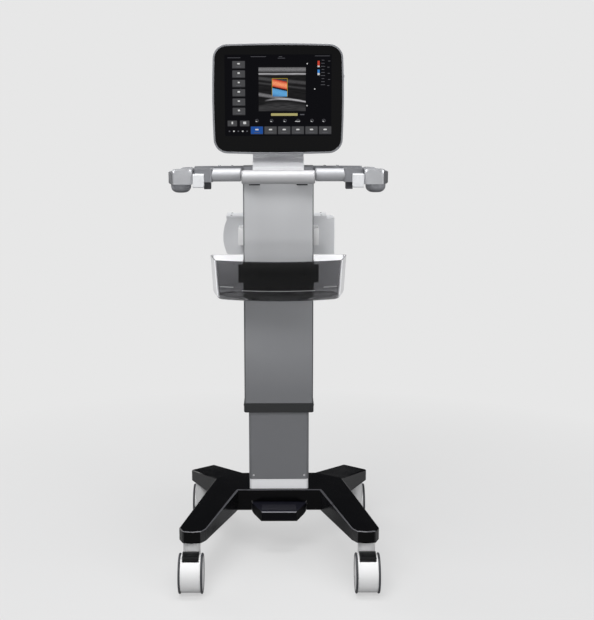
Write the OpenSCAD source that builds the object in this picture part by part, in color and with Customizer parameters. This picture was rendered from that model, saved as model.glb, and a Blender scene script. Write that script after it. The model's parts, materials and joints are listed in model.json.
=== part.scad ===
// Tablet ultrasound machine on a height-adjustable trolley.
// Millimetres. Origin on the floor at the middle of the footprint, +Z up, the screen faces -Y.

/* [Casters] */
// Distance between the left and right caster stems
caster_track = 398; // [386:1:414]
// Distance between the front and rear caster stems
caster_spacing = 406; // [396:1:430]
// Wheel diameter over the tyre
wheel_d = 91; // [86:1:93]
// Distance from a stem to its wheel axle
caster_trail = 33; // [31:1:35]
// Width of one caster over both wheels
caster_w = 55; // [54:1:60]
// Width of one wheel
wheel_w = 4.5; // [4:0.5:6]
// Radial thickness of a tyre
tyre_t = 6; // [4:0.5:8]
// Diameter of the wheel axle
axle_d = 8; // [6:0.5:10]
// Diameter of the swivel stem
stem_d = 11; // [9:0.5:13]
// Diameter of the swivel neck
neck_d = 39; // [34:1:41]
// How far the hood stands inside the tread
hood_inset = 2.5; // [2:0.5:4]
// Width of a brake pedal
brake_w = 37; // [32:1:39]
// Length of a brake pedal ahead of its pivot
brake_len = 25; // [21:1:28]

/* [Base] */
// Height of the top of the hub
base_top = 150; // [148:1:156]
// Height of the lower edge of the hub
base_low = 97; // [94:1:99]
// Height of the top of the leg tips
tip_top = 142; // [141:1:146]
// Depth of the skirt at the leg tips
tip_h = 28; // [26:1:30]
// Width of a front leg at its tip
tip_w = 50; // [47:1:56]
// Reach of a front leg past its stem
tip_reach = 29; // [27:1:33]
// Width of the waist between front and rear legs
waist_w = 320; // [310:1:330]
// Width of the hub's front wall
hub_front_w = 220; // [210:1:224]
// Wall of the moulded base cover
cover_wall = 3; // [2:0.5:4]
// Radius of the cover's upright corners
cover_r = 5; // [4:0.5:6]
// Size of the bevel round the cover's top edge
cover_bevel = 2; // [1:0.5:3]
// Thickness of the steel hub plate
plate_t = 8; // [6:1:8]
// Width of the steel arms
arm_w = 26; // [20:1:28]

/* [Foot pedal] */
// Width of the pedal where it leaves the hub
pedal_w = 134; // [124:1:142]
// Width of the pedal's front edge
pedal_tip_w = 84; // [74:1:96]
// Reach of the pedal in front of the hub
pedal_reach = 53; // [45:1:58]
// Thickness of the pedal's front lip
pedal_h = 25; // [20:1:27]
// Diameter of the pedal's hinge pin
pedal_pin_d = 8; // [6:0.5:9]

/* [Column] */
// Distance of the column's axis behind the middle of the footprint
column_y = 78; // [74:1:80]
// Width of the lower column
post_w = 147; // [140:1:149]
// Depth of the lower column
post_d = 86; // [80:1:88]
// Wall of the lower column
post_wall = 4; // [3:0.5:5]
// Height of the top of the lower column
post_top = 700; // [690:1:704]
// Height of the light foot under the lower column
foot_h = 25; // [20:1:26]
// Width of the upper column
sleeve_w = 167; // [166:1:174]
// Depth of the upper column
sleeve_d = 100; // [99:1:106]
// Wall of the upper column
sleeve_wall = 3.5; // [3:0.5:4]
// Width of the accessory slot in each side of the upper column
slot_w = 10; // [8:0.5:12]
// Height of the collar's lower edge at rest
collar_z = 347; // [347:1:360]
// Height of the collar
collar_h = 23; // [18:1:28]
// Height of the top of the upper column at rest
sleeve_top = 908; // [900:1:912]
// Travel of the column below its rest height
lift_down = 165; // [140:1:168]
// Travel of the column above its rest height
lift_up = 80; // [60:1:84]
// Diameter of the gas spring's cylinder
gas_d = 28; // [24:1:30]
// Diameter of the gas spring's rod
rod_d = 10; // [8:0.5:12]

/* [Handle] */
// Height of the handle casting above the upper column
casting_h = 35; // [33:1:38]
// Diameter of the front grip
grip_d = 32.4; // [30:0.2:34]
// Length of the front grip
grip_len = 170; // [160:1:174]
// Distance of the front grip ahead of the column's axis
grip_reach = 95; // [92:1:104]
// Height of the front grip's axis above the upper column's top
grip_rise = 14; // [12:1:18]
// Diameter of the side grips
side_d = 31; // [28:0.5:32]
// Distance from the middle to the inner end of a side grip
side_in = 86; // [86:1:90]
// Distance from the middle to the outer end of a side grip
side_out = 162; // [158:1:166]
// Distance of the side grips ahead of the column's axis
side_reach = 73; // [70:1:76]
// Thickness of the handle's wings
wing_t = 14; // [10:1:16]

/* [Probe holders] */
// Width over both probe holders
holder_span = 512; // [506:1:520]
// Width of one holder
holder_w = 58; // [57:1:62]
// Depth of one holder
holder_d = 80; // [76:1:90]
// Height of one holder
holder_h = 38; // [36:1:42]
// Inner diameter of a probe cup
cup_d = 42; // [38:1:43]
// Wall of a probe cup
cup_wall = 2.5; // [2:0.5:3]
// How far a cup hangs below its holder
cup_drop = 20; // [17:1:22]
// Width of a cable hook
hook_w = 25; // [20:1:27]
// Room for cables in a hook
hook_gap = 20; // [14:1:24]
// Wall of a cable hook
hook_t = 3; // [2:0.5:4]

/* [Tray] */
// Height of the tray's floor below the upper column's top
tray_drop = 265; // [256:1:270]
// Height of the tray
tray_h = 93; // [86:1:100]
// Width of the tray at the back of its rim
tray_w = 325; // [314:1:330]
// Width of the tray at the front of its rim
tray_front_w = 294; // [284:1:300]
// Depth of the tray
tray_d = 127; // [116:1:140]
// How far the front wall bows out
tray_bow = 31; // [20:1:36]
// Wall of the tray
tray_wall = 3; // [2:0.5:4]
// Thickness of the tray bracket
bracket_t = 4; // [3.5:0.5:5]

/* [Rear box] */
// Width of the rear box
box_w = 264; // [250:1:280]
// Depth of the rear box
box_d = 80; // [70:1:100]
// Height of the rear box with its lid
box_h = 95; // [84:1:104]
// Height of the box's floor below the upper column's top
box_drop = 186; // [176:1:190]
// Height of the lid
lid_h = 8; // [6:1:12]
// How far the box's left end bulges
box_bulge = 10; // [6:1:14]
// Wall of the rear box
box_wall = 3; // [2:0.5:4]
// Gap between the upper column and the rear box
box_gap = 6; // [4:1:10]

/* [Tilt head] */
// Height of the tilt hinge above the handle casting
tilt_rise = 117; // [114:1:122]
// Width of the neck
neck_w = 120; // [110:1:126]
// Thickness of the neck
neck_t = 18; // [14:1:20]
// Diameter of the tilt hinge pin
tilt_pin_d = 12; // [10:0.5:14]
// Diameter of the tilt hinge knuckles
knuckle_d = 32; // [28:1:34]
// Width of the cradle plate
cradle_w = 136; // [120:1:138]
// Height of the cradle plate
cradle_h = 150; // [130:1:156]

/* [Tablet] */
// Width of the tablet
tablet_w = 304; // [298:1:310]
// Height of the tablet
tablet_h = 252; // [246:1:256]
// Thickness of the tablet
tablet_t = 42; // [40:1:43]
// Corner radius of the tablet
tablet_r = 33; // [28:1:38]
// How far each edge of the tablet bows out
crown = 2; // [1:0.5:3]
// Width of the bright rim round the glass
rim_w = 4; // [3:0.5:4.5]
// Width of the screen
screen_w = 246; // [240:1:250]
// Height of the screen
screen_h = 184.5; // [180:0.5:188]
// Thickness of the touch glass
glass_t = 3; // [2:0.5:3]
// Wall of the rear housing
housing_wall = 2.5; // [2:0.5:3]
// Diameter of the power button
button_d = 7; // [6:0.5:9]
// Travel of the power button
button_travel = 1; // [0.6:0.1:1.2]

/* [Hidden] */
$fn = 64;

fit = 0.05;          // radial running clearance of pins and shafts
slide_gap = 0.3;     // clearance between sliding or seated housings
edge_fn = 24;        // facets of small rounded corners

// Shared places
stem_x = caster_track / 2;
stem_y = caster_spacing / 2;
wheel_r = wheel_d / 2;
tip_low = tip_top - tip_h;
sleeve_front = column_y - sleeve_d / 2;
sleeve_rear = column_y + sleeve_d / 2;
plate_low = base_low + 29;
plate_top = plate_low + plate_t;
casting_top = sleeve_top + casting_h;
foot_w = post_w - 2;
foot_d = post_d - 2;
foot_r = 7;
post_low = base_top + foot_h;
collar_top = collar_z + collar_h;

// ---------- shared shapes ----------

// Rectangle with round corners
module round_rect(w, d, r) {
    square([w - 2 * r, d], center = true);
    square([w, d - 2 * r], center = true);
    for (x = [-1, 1], y = [-1, 1])
        translate([x * (w / 2 - r), y * (d / 2 - r)]) circle(r);
}

// Upright prism with round corners, standing on z
module round_box(w, d, r, z, h) {
    translate([0, 0, z]) linear_extrude(h) round_rect(w, d, r);
}

// Cylinder along X, centred on the origin
module x_cylinder(r, h) {
    rotate([0, 90, 0]) cylinder(r = r, h = h, center = true);
}

// Solid along X of a Y-Z outline
module x_prism(points, w) {
    translate([-w / 2, 0, 0]) rotate([90, 0, 90]) linear_extrude(w) polygon(points);
}

// Copy to the left and to the right
module both_sides() {
    children();
    mirror([1, 0, 0]) children();
}

// ---------- casters ----------

hood_gap = 0.5;                                        // between the hood and a wheel
hood_w = caster_w - 2 * (wheel_w + hood_gap);
hood_r = wheel_r - hood_inset;
neck_r = neck_d / 2;
neck_top = tip_low - slide_gap;
pocket_w = brake_w + 2 * slide_gap;
stem_low = wheel_r + 16;
stem_top = tip_top - cover_wall - 2;
brake_y = -(neck_r + 10.5);
brake_z = wheel_r + hood_r - 5;
brake_r = 5;                                           // brake pedal's hinge barrel
brake_pin_r = 2.5;
pocket_low = brake_z - brake_r - 2;
pocket_front = brake_y - brake_len - 2;
wheel_x = hood_w / 2 + hood_gap;
rim_r = wheel_r - tyre_t;
hub_r = axle_d / 2 + 8;

// A caster's parts are drawn with the stem on the origin and the axle ahead of it, towards -Y
module at_caster(side, end) {
    translate([side * stem_x, end * stem_y, 0]) rotate([0, 0, end > 0 ? 180 : 0]) children();
}

module hood(braked) {
    color("white") difference() {
        union() {
            translate([0, -caster_trail, wheel_r]) x_cylinder(hood_r, hood_w);
            translate([0, 0, wheel_r]) cylinder(r = neck_r, h = neck_top - 8 - wheel_r);
            translate([0, 0, neck_top - 8]) cylinder(r1 = neck_r, r2 = neck_r - 3, h = 8);
            translate([0, 0, wheel_r - 14]) cylinder(r1 = neck_r - 10, r2 = neck_r, h = 14);
        }
        // flat just above the floor
        translate([0, -caster_trail, -wheel_r + hood_inset + 2])
            cube([hood_w + 2, wheel_d, wheel_d], center = true);
        translate([0, 0, stem_low]) cylinder(r = stem_d / 2 + fit, h = tip_top);
        translate([0, -caster_trail, wheel_r]) x_cylinder(axle_d / 2 + fit, caster_w);
        if (braked) {
            translate([-pocket_w / 2, pocket_front, pocket_low])
                cube([pocket_w, 1 - neck_r - pocket_front, wheel_d]);
            translate([0, brake_y, brake_z]) x_cylinder(brake_pin_r + fit, hood_w + 2);
        }
    }
}

module pins() {
    color("silver") {
        translate([0, 0, stem_low + 1]) cylinder(r = stem_d / 2, h = stem_top - stem_low - 1);
        translate([0, -caster_trail, wheel_r]) x_cylinder(axle_d / 2, caster_w - 2);
    }
}

// One wheel, its inner face at x = 0
module wheel() {
    rotate([90, 0, 90]) rotate_extrude($fn = 72) polygon([
        [axle_d / 2 + fit, 0], [hub_r, 0], [hub_r, wheel_w / 2], [rim_r - 6, wheel_w / 2],
        [rim_r - 6, 0], [rim_r, 0], [rim_r, wheel_w - 0.6], [rim_r - 3, wheel_w - 0.6],
        [rim_r - 5, wheel_w - 1.6], [hub_r + 3, wheel_w - 1], [hub_r, wheel_w - 0.2],
        [axle_d / 2 + fit, wheel_w - 0.2]
    ]);
}

module tyre() {
    shoulder = wheel_w / 5;
    rotate([90, 0, 90]) rotate_extrude($fn = 72) polygon([
        [rim_r + fit, 0], [wheel_r - shoulder, 0], [wheel_r, shoulder],
        [wheel_r, wheel_w - 2 * shoulder], [wheel_r - shoulder, wheel_w - shoulder / 2],
        [wheel_r - 2 * shoulder, wheel_w], [rim_r + fit, wheel_w]
    ]);
}

module on_axle() {
    both_sides() translate([wheel_x, -caster_trail, wheel_r]) children();
}

module wheels() { color("gainsboro") on_axle() wheel(); }
module tyres() { color("dimgray") on_axle() tyre(); }

// Brake pedal: hinge barrel, tread plate and a cross pin through the hood's cheeks
module brake() {
    rib_y = [for (i = [0:3]) brake_y - brake_len * (0.25 + 0.18 * i)];
    color([0.12, 0.12, 0.13]) {
        translate([0, brake_y, brake_z]) x_cylinder(brake_r, brake_w);
        translate([0, brake_y, brake_z]) x_cylinder(brake_pin_r, hood_w - 1);
        x_prism([
            [brake_y + 3, brake_z - 4], [brake_y + 4, brake_z + 11], [brake_y - 4, brake_z + 12],
            [brake_y - brake_len, brake_z + 6], [brake_y - brake_len, brake_z],
            [brake_y - 12, brake_z]
        ], brake_w);
        for (y = rib_y)
            translate([-brake_w / 2 + 3, y, brake_z + 3]) cube([brake_w - 6, 2, 8.4]);
    }
}

// ---------- base ----------

waist_y = column_y + 36;                               // crook between front and rear legs
hub_back_x = 98;                                       // half-width of the hub's back edge
hub_back_y = column_y + 81;
leg_root = [-hub_front_w / 2 - 1, sleeve_front - 11];                  // inner root of the left front leg
rear_turn = 37;                                        // turn of a rear leg's end face
bevel_h = 1.6;

front_tip = [for (p = [[-1.15, -0.05], [-0.77, -0.85], [0.1, -1], [1, -0.85], [1.46, -0.25]])
    [-stem_x + p[0] * (tip_w / 2 - cover_r), -stem_y + p[1] * (tip_reach - cover_r)]];

// Corner of a rear leg's end, by its distance along the end face from the stem
function rear_corner(along) = let (out = 22 - cover_r)
    [-stem_x + along * cos(rear_turn) - out * sin(rear_turn),
     stem_y + along * sin(rear_turn) + out * cos(rear_turn)];

// Upright post of the cover, bevelled at the top; grow below zero draws the hollow
module corner_post(p, low, top, grow) {
    r = cover_r + grow;
    under = grow < 0 ? 6 : 0;
    translate([p[0], p[1], low - under])
        cylinder(r = r, h = top + grow - low + under - bevel_h, $fn = edge_fn);
    translate([p[0], p[1], low])
        cylinder(r = max(r - cover_bevel, 0.5), h = top + grow - low, $fn = edge_fn);
}

module hub_post(x, y, grow) {
    corner_post([x, y], base_low, base_top, grow);
}

module left_front_leg(grow) {
    hull() {
        hub_post(-waist_w / 2 + cover_r, waist_y, grow);
        hub_post(leg_root[0], leg_root[1], grow);
        hub_post(leg_root[0] + 18, leg_root[1] + 60, grow);
        for (p = front_tip) corner_post(p, tip_low, tip_top, grow);
    }
}

module left_rear_leg(grow) {
    hull() {
        hub_post(-waist_w / 2 + cover_r, waist_y, grow);
        hub_post(-hub_back_x + 3, hub_back_y - cover_r, grow);
        hub_post(-80, column_y + 20, grow);
        for (along = [-18, 45]) corner_post(rear_corner(along), tip_low, tip_top, grow);
    }
}

module hub(grow) {
    hull() for (s = [-1, 1]) {
        hub_post(s * (hub_front_w / 2 - cover_r), sleeve_front + cover_r, grow);
        hub_post(s * (waist_w / 2 - cover_r), waist_y, grow);
        hub_post(s * (hub_back_x - 3), hub_back_y - cover_r, grow);
    }
}

module cover_form(grow) {
    hub(grow);
    both_sides() {
        left_front_leg(grow);
        left_rear_leg(grow);
    }
}

pedal_top = base_low + 21;
pedal_gap = 0.8;

module base_cover() {
    color([0.05, 0.05, 0.06]) difference() {
        cover_form(0);
        cover_form(-cover_wall);
        // room for the caster necks under the skirt
        for (x = [-1, 1], y = [-1, 1])
            translate([x * stem_x, y * stem_y, 0]) cylinder(r = neck_r + 1, h = tip_low + 0.5);
        // opening for the column's foot
        translate([0, column_y, base_top - 20])
            linear_extrude(40) round_rect(foot_w + 2 * slide_gap, foot_d + 2 * slide_gap, foot_r);
        // opening for the pedal in the front wall
        translate([-pedal_w / 2 - pedal_gap, sleeve_front - 8, base_low - 10])
            cube([pedal_w + 2 * pedal_gap, 20, pedal_top + pedal_gap + 2 - base_low + 10]);
    }
}

pedal_axis_y = sleeve_front + 22;
pedal_axis_z = base_low + 11;
lug_in = 41.5;                                         // inner face of the chassis lugs
lug_t = 8;
pin_hole_r = 3.3;                                      // release pin's hole in plate and foot

// Square steel arm from the hub plate out to a stem
module chassis_arm(from, to) {
    run = to - from;
    translate([from[0], from[1], plate_low - 6])
        rotate([0, 0, atan2(run[1], run[0])])
            translate([0, -arm_w / 2, 0]) cube([norm(run), arm_w, plate_t + 7]);
}

module base_chassis() {
    plate = [[-80, sleeve_front + 11], [80, sleeve_front + 11], [138, waist_y - 9],
             [88, hub_back_y - 11], [-88, hub_back_y - 11], [-138, waist_y - 9]];
    color([0.25, 0.26, 0.27]) difference() {
        union() {
            translate([0, 0, plate_low]) linear_extrude(plate_t) polygon(plate);
            both_sides() {
                chassis_arm([-122, column_y], [-stem_x, -stem_y]);
                chassis_arm([-108, column_y + 34], [-stem_x, stem_y]);
                for (y = [-1, 1]) translate([-stem_x, y * stem_y, tip_low])
                    cylinder(r = 16.5, h = stem_top + 1 - tip_low);
                // lugs for the pedal's pin
                translate([lug_in, pedal_axis_y - 8, pedal_axis_z - 8])
                    cube([lug_t, 16, plate_low - pedal_axis_z + 8]);
            }
        }
        for (x = [-1, 1], y = [-1, 1])
            translate([x * stem_x, y * stem_y, tip_low - 1])
                cylinder(r = stem_d / 2 + fit, h = stem_top - tip_low + 1.5);
        translate([0, pedal_axis_y, pedal_axis_z])
            x_cylinder(pedal_pin_d / 2 + fit, 2 * (lug_in + lug_t) + 2);
        translate([0, column_y, plate_low - 1]) cylinder(r = pin_hole_r, h = plate_t + 2);
    }
}

spigot_h = 30;
gas_low = plate_top + 6;
gas_top = post_top - 200;
rod_low = gas_top - lift_up - 20;

module column_foot() {
    inner_w = post_w - 2 * (post_wall + slide_gap);
    inner_d = post_d - 2 * (post_wall + slide_gap);
    color([0.86, 0.86, 0.88]) translate([0, column_y, 0]) difference() {
        union() {
            round_box(foot_w, foot_d, foot_r, plate_top, post_low - plate_top);
            round_box(inner_w, inner_d, 5, post_low, spigot_h);
        }
        translate([0, 0, gas_low]) cylinder(r = gas_d / 2 + fit, h = post_top);
        translate([0, 0, plate_top - 1]) cylinder(r = pin_hole_r, h = gas_low - plate_top + 2);
    }
}

module lower_column() {
    color([0.5, 0.51, 0.53]) translate([0, column_y, post_low]) linear_extrude(post_top - post_low)
        difference() {
            round_rect(post_w, post_d, 8);
            round_rect(post_w - 2 * post_wall, post_d - 2 * post_wall, 8 - post_wall);
        }
}

module gas_spring_cylinder() {
    pin_room = 20;
    color([0.15, 0.15, 0.16]) translate([0, column_y, 0]) difference() {
        translate([0, 0, gas_low]) cylinder(r = gas_d / 2, h = gas_top - gas_low);
        translate([0, 0, rod_low - lift_down - 5])
            cylinder(r = rod_d / 2 + fit, h = gas_top - gas_low);
        translate([0, 0, gas_low - 1]) cylinder(r = 3 + fit, h = pin_room + 1);
    }
}

// ---------- foot pedal ----------

pedal_front = sleeve_front - pedal_reach;
pedal_lip_top = pedal_top - 6;

module pedal_pin() {
    color("silver") translate([0, pedal_axis_y, pedal_axis_z])
        x_cylinder(pedal_pin_d / 2, 2 * (lug_in + lug_t) + 1);
}

module foot_pedal() {
    w = pedal_w / 2;
    tip = pedal_tip_w / 2;
    bend = sleeve_front - 4;
    back = sleeve_front + 10;
    r = 3;
    arm_z = pedal_axis_z;
    color([0.07, 0.07, 0.09]) difference() {
        union() {
            // tread: plan outline cut to its side profile
            intersection() {
                linear_extrude(pedal_top) offset(r, $fn = edge_fn) offset(-r) polygon([
                    [-w, back], [-w, bend], [-tip, pedal_front], [tip, pedal_front],
                    [w, bend], [w, back]]);
                x_prism([
                    [back, pedal_top], [pedal_front + 2, pedal_lip_top],
                    [pedal_front, pedal_lip_top - 2], [pedal_front, pedal_lip_top - pedal_h + 3],
                    [pedal_front + 3, pedal_lip_top - pedal_h], [bend - 10, pedal_lip_top - pedal_h + 5],
                    [back, pedal_axis_z - 6]
                ], pedal_w + 2);
            }
            // hinge lugs and the arm that reaches back under the gas spring
            both_sides() {
                translate([lug_in - 11, back - 1, arm_z - 6])
                    cube([10, pedal_axis_y - back + 1, 10]);
                translate([lug_in - 6, pedal_axis_y, arm_z]) x_cylinder(8, 10);
            }
            translate([-8, back - 1, arm_z - 5]) cube([16, column_y + 8 - back, 8]);
        }
        translate([0, pedal_axis_y, pedal_axis_z]) x_cylinder(pedal_pin_d / 2 + fit, 2 * lug_in);
        // shallow seat for the tread pad
        pad_seat(0);
    }
}

pad_w = 84;
pad_d = 30;
pad_t = 1.6;

// Slot in the pedal's sloping top that holds the pad
module pad_seat(gap) {
    slope = atan2(pedal_top - pedal_lip_top, pedal_reach + 8);
    translate([0, pedal_front + 2, pedal_lip_top]) rotate([slope, 0, 0])
        translate([-pad_w / 2 + gap, 8 + gap, -pad_t])
            cube([pad_w - 2 * gap, pad_d - 2 * gap, gap > 0 ? pad_t + 0.4 : 10]);
}

module pedal_pad() {
    color([0.1, 0.1, 0.1]) pad_seat(0.2);
}

module release_pin() {
    color("silver") translate([0, column_y, pedal_axis_z + 3 + slide_gap])
        cylinder(r = 3, h = gas_low + 12 - pedal_axis_z - 3 - slide_gap);
}

// ---------- upper column ----------

bore_w = sleeve_w - 2 * sleeve_wall;
bore_d = sleeve_d - 2 * sleeve_wall;
slot_depth = 5;
lip = 1.6;                                             // metal beside and behind the slot

// Hollow of the upper column, shrunk by gap
module sleeve_hollow(gap) {
    boss = 2 * (slot_w / 2 + 2 * lip + gap);
    back = sleeve_w / 2 - slot_depth - lip - gap;
    difference() {
        round_rect(bore_w - 2 * gap, bore_d - 2 * gap, 3);
        for (s = [-1, 1]) translate([s * (back + sleeve_w / 2), 0]) square([sleeve_w, boss], center = true);
    }
}

module upper_column() {
    color([0.72, 0.72, 0.73]) translate([0, column_y, collar_top])
        linear_extrude(sleeve_top - collar_top) difference() {
            round_rect(sleeve_w, sleeve_d, 5);
            sleeve_hollow(0);
            // undercut accessory slot in each side
            for (s = [-1, 1]) {
                translate([s * (sleeve_w / 2 - slot_depth / 2), 0])
                    square([slot_depth, slot_w], center = true);
                translate([s * sleeve_w / 2, 0]) square([4, slot_w - 2 * lip], center = true);
            }
        }
}

guide_h = 25;                                          // guide's length inside the post

module column_guide() {
    cap_h = 15;
    color([0.9, 0.9, 0.88]) translate([0, column_y, 0]) difference() {
        union() {
            translate([0, 0, post_top]) linear_extrude(cap_h) sleeve_hollow(slide_gap);
            round_box(post_w - 2 * (post_wall + slide_gap), post_d - 2 * (post_wall + slide_gap),
                      4, post_top - guide_h, guide_h);
        }
        translate([0, 0, post_top - guide_h - 1])
            cylinder(r = rod_d / 2 + 4, h = cap_h + guide_h + 5);
    }
}

module column_collar() {
    grow = 1.5;
    color([0.2, 0.2, 0.21]) translate([0, column_y, 0]) difference() {
        union() {
            round_box(sleeve_w + 2 * grow, sleeve_d + 2 * grow, 6, collar_z + 1.5, collar_h - 1.5);
            round_box(sleeve_w, sleeve_d, 5, collar_z, 2);
            translate([0, 0, collar_top]) linear_extrude(24) sleeve_hollow(slide_gap);
        }
        round_box(post_w + 2 * slide_gap, post_d + 2 * slide_gap, 8 + slide_gap, collar_z - 1,
                  collar_h + 40);
    }
}

plug_h = 18;
rod_seat = sleeve_top - 6;

module gas_spring_rod() {
    color("silver") translate([0, column_y, rod_low]) cylinder(r = rod_d / 2, h = rod_seat - rod_low);
}

// ---------- handle ----------

grip_y = column_y - grip_reach;
grip_z = sleeve_top + grip_rise;
grip_r = grip_d / 2;
side_y = column_y - side_reach;
side_z = grip_z + 4;
side_r = side_d / 2;
wing_front = side_y + side_r + 29;                     // leaves room for fingers
carrier_in = side_out - 10;
holder_x = (holder_span - holder_w) / 2;
carrier_out = holder_x - holder_w / 2;
holder_y = column_y - 68;
carrier_h = 32;

module handle_wing() {
    wing_pts = [
        [sleeve_w / 2 - 12, wing_front], [sleeve_w / 2 - 12, column_y - 1],
        [sleeve_w / 2 + 10, column_y - 2], [carrier_in, column_y - 6],
        [carrier_out - 6, column_y - 12], [carrier_out, column_y - 18], [carrier_out, wing_front]
    ];
    translate([0, 0, casting_top - wing_t]) linear_extrude(wing_t)
        offset(3, $fn = edge_fn) offset(-3) polygon(wing_pts);
    // inner post that carries the side grip
    post_x = side_in + 4;
    translate([post_x, side_y, side_z - 9]) cube([12, wing_front + 6 - side_y, 18]);
    translate([sleeve_w / 2 - 14, wing_front - 6, side_z - 9])
        cube([post_x + 12 - sleeve_w / 2 + 14, 20, casting_top - side_z + 9]);
    // outer carrier between the side grip and the probe holder
    translate([0, 0, side_z - carrier_h / 2]) linear_extrude(casting_top - 2 - side_z + carrier_h / 2)
        translate([(carrier_in + carrier_out) / 2, (side_y + wing_front) / 2 - 4])
            round_rect(carrier_out - carrier_in, wing_front - side_y + 28, 8);
    translate([carrier_out - 9, side_y - 8, side_z - carrier_h / 2])
        cube([9, wing_front - side_y + 14, casting_top - 2 - side_z + carrier_h / 2]);
}

module handle_casting() {
    color([0.62, 0.62, 0.64]) difference() {
        union() {
            translate([0, column_y, sleeve_top - plug_h]) linear_extrude(plug_h)
                sleeve_hollow(slide_gap);
            translate([0, column_y, 0]) round_box(sleeve_w, sleeve_d, 5, sleeve_top, casting_h);
            both_sides() {
                // arm that carries one end of the front grip
                translate([grip_len / 2 - 16, grip_y, grip_z - 9])
                    cube([12, sleeve_front + 10 - grip_y, 18]);
                handle_wing();
            }
        }
        translate([0, grip_y, grip_z]) x_cylinder(grip_r + fit, grip_len + 2);
        both_sides() translate([(side_in + side_out) / 2, side_y, side_z])
            x_cylinder(side_r + fit, side_out - side_in);
        translate([0, column_y, sleeve_top - plug_h - 1]) cylinder(r = rod_d / 2 + fit, h = plug_h - 5);
        // top slopes off behind the neck
        translate([0, neck_foot_back, casting_top]) rotate([-14, 0, 0])
            translate([-sleeve_w, 0, 0]) cube([2 * sleeve_w, sleeve_d, casting_h]);
        // recess that lightens the plug from below
        for (s = [-1, 1]) translate([s * 40, column_y, sleeve_top - plug_h - 1])
            cylinder(r = 22, h = plug_h - 2);
    }
}

// Round bar along X with bevelled ends
module bar(r, w) {
    bevel = 2.5;
    x_cylinder(r, w - 2 * bevel);
    for (s = [-1, 1]) translate([s * (w / 2 - bevel), 0, 0]) rotate([0, s * 90, 0])
        cylinder(r1 = r, r2 = r - bevel, h = bevel);
}

module front_grip() {
    color([0.85, 0.85, 0.86]) translate([0, grip_y, grip_z]) bar(grip_r, grip_len);
}

module side_grips() {
    w = side_out - side_in;
    color([0.6, 0.6, 0.62]) both_sides()
        translate([side_in + w / 2, side_y, side_z]) bar(side_r, w);
}

// ---------- probe holders ----------

holder_low = casting_top - holder_h;
cup_r = cup_d / 2;
cup_out = cup_r + cup_wall;
flange_r = cup_out + 3;
flange_t = 2.5;
cup_top = casting_top - 8;

module probe_holder() {
    color([0.7, 0.7, 0.72]) difference() {
        hull() {
            // round body about the cup, its top sloping down to the outer end
            translate([holder_x, holder_y, 0]) {
                translate([0, 0, holder_low]) cylinder(r = holder_w / 2 - 3, h = 3);
                translate([0, 0, holder_low + 3]) cylinder(r = holder_w / 2, h = holder_h - 13);
                translate([-6, 0, casting_top - 1]) cylinder(r = holder_w / 2 - 7, h = 1);
            }
            // flat front face
            translate([carrier_out + 5, holder_y - holder_d / 2 + 5, holder_low + 1])
                cylinder(r = 5, h = holder_h - 4, $fn = edge_fn);
            translate([holder_x + 12, holder_y - holder_d / 2 + 5, holder_low + 1])
                cylinder(r = 5, h = holder_h - 7, $fn = edge_fn);
            // square shoulder that meets the carrier
            translate([carrier_out, side_y - 8, holder_low + 8])
                cube([14, wing_front - side_y + 8, holder_h - 12]);
        }
        translate([holder_x, holder_y, holder_low - 1]) cylinder(r = cup_out + fit, h = holder_h + 2);
        translate([holder_x, holder_y, cup_top - flange_t]) cylinder(r = flange_r + 0.2, h = 20);
    }
}

module left_probe_holder() { mirror([1, 0, 0]) probe_holder(); }
module right_probe_holder() { probe_holder(); }

module cup_liner() {
    low = holder_low - cup_drop;
    bend = 15;
    arc = [for (i = [0:6]) [cup_out - bend + bend * sin(i * 15), low + bend - bend * cos(i * 15)]];
    color([0.3, 0.3, 0.31]) translate([holder_x, holder_y, 0]) rotate_extrude($fn = 64)
        polygon(concat([[0, low]], arc, [
            [cup_out, cup_top - flange_t], [flange_r, cup_top - flange_t],
            [flange_r, cup_top], [cup_r, cup_top], [cup_r, low + bend],
            [cup_r - 8, low + 4], [0, low + 4]]));
}

module cup_liners() { both_sides() cup_liner(); }

hook_x = carrier_out - 1.5 - hook_w / 2;
carrier_front = (side_y + wing_front) / 2 - 4 - (wing_front - side_y + 28) / 2;
hook_drop = 11;                                        // hooks hang this far below the carrier
hook_h = 31;
hook_low = side_z - carrier_h / 2 - hook_drop;

// Open channel under the carrier's front, for the probes' cables
module cable_hooks() {
    front = carrier_front - 2 * hook_t - hook_gap;
    high = hook_low + hook_h;
    color([0.93, 0.93, 0.94]) both_sides() translate([hook_x, 0, 0]) x_prism([
        [carrier_front, high], [carrier_front - hook_t, high],
        [carrier_front - hook_t, hook_low + hook_t + 1], [front + hook_t, hook_low + hook_t + 1],
        [front + hook_t, high], [front + 1, high], [front, high - 1.5], [front, hook_low + 2],
        [front + 2, hook_low], [carrier_front - 2, hook_low], [carrier_front, hook_low + 2]
    ], hook_w);
}

stop_w = 16;
stop_d = 24;
stop_h = 17;

// Dark blocks that close the carriers below the side grips
module grip_stops() {
    color([0.1, 0.1, 0.1]) both_sides()
        translate([carrier_in + 5, side_y - stop_d / 4, side_z - carrier_h / 2 - stop_h])
            cube([stop_w, stop_d, stop_h]);
}

clip_x = 43;
clip_w = 26;

// Dark clips that hook the casting to the front of the upper column
module casting_clips() {
    color([0.08, 0.08, 0.08]) both_sides()
        translate([clip_x, sleeve_front - 5, sleeve_top - 8]) {
            cube([clip_w, 5, 5]);
            translate([3, 0, 5]) cube([clip_w - 6, 5, 3]);
        }
}

// ---------- tray ----------

tray_low = sleeve_top - tray_drop;
tray_back = sleeve_front - bracket_t;
lip_h = 12;

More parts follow.
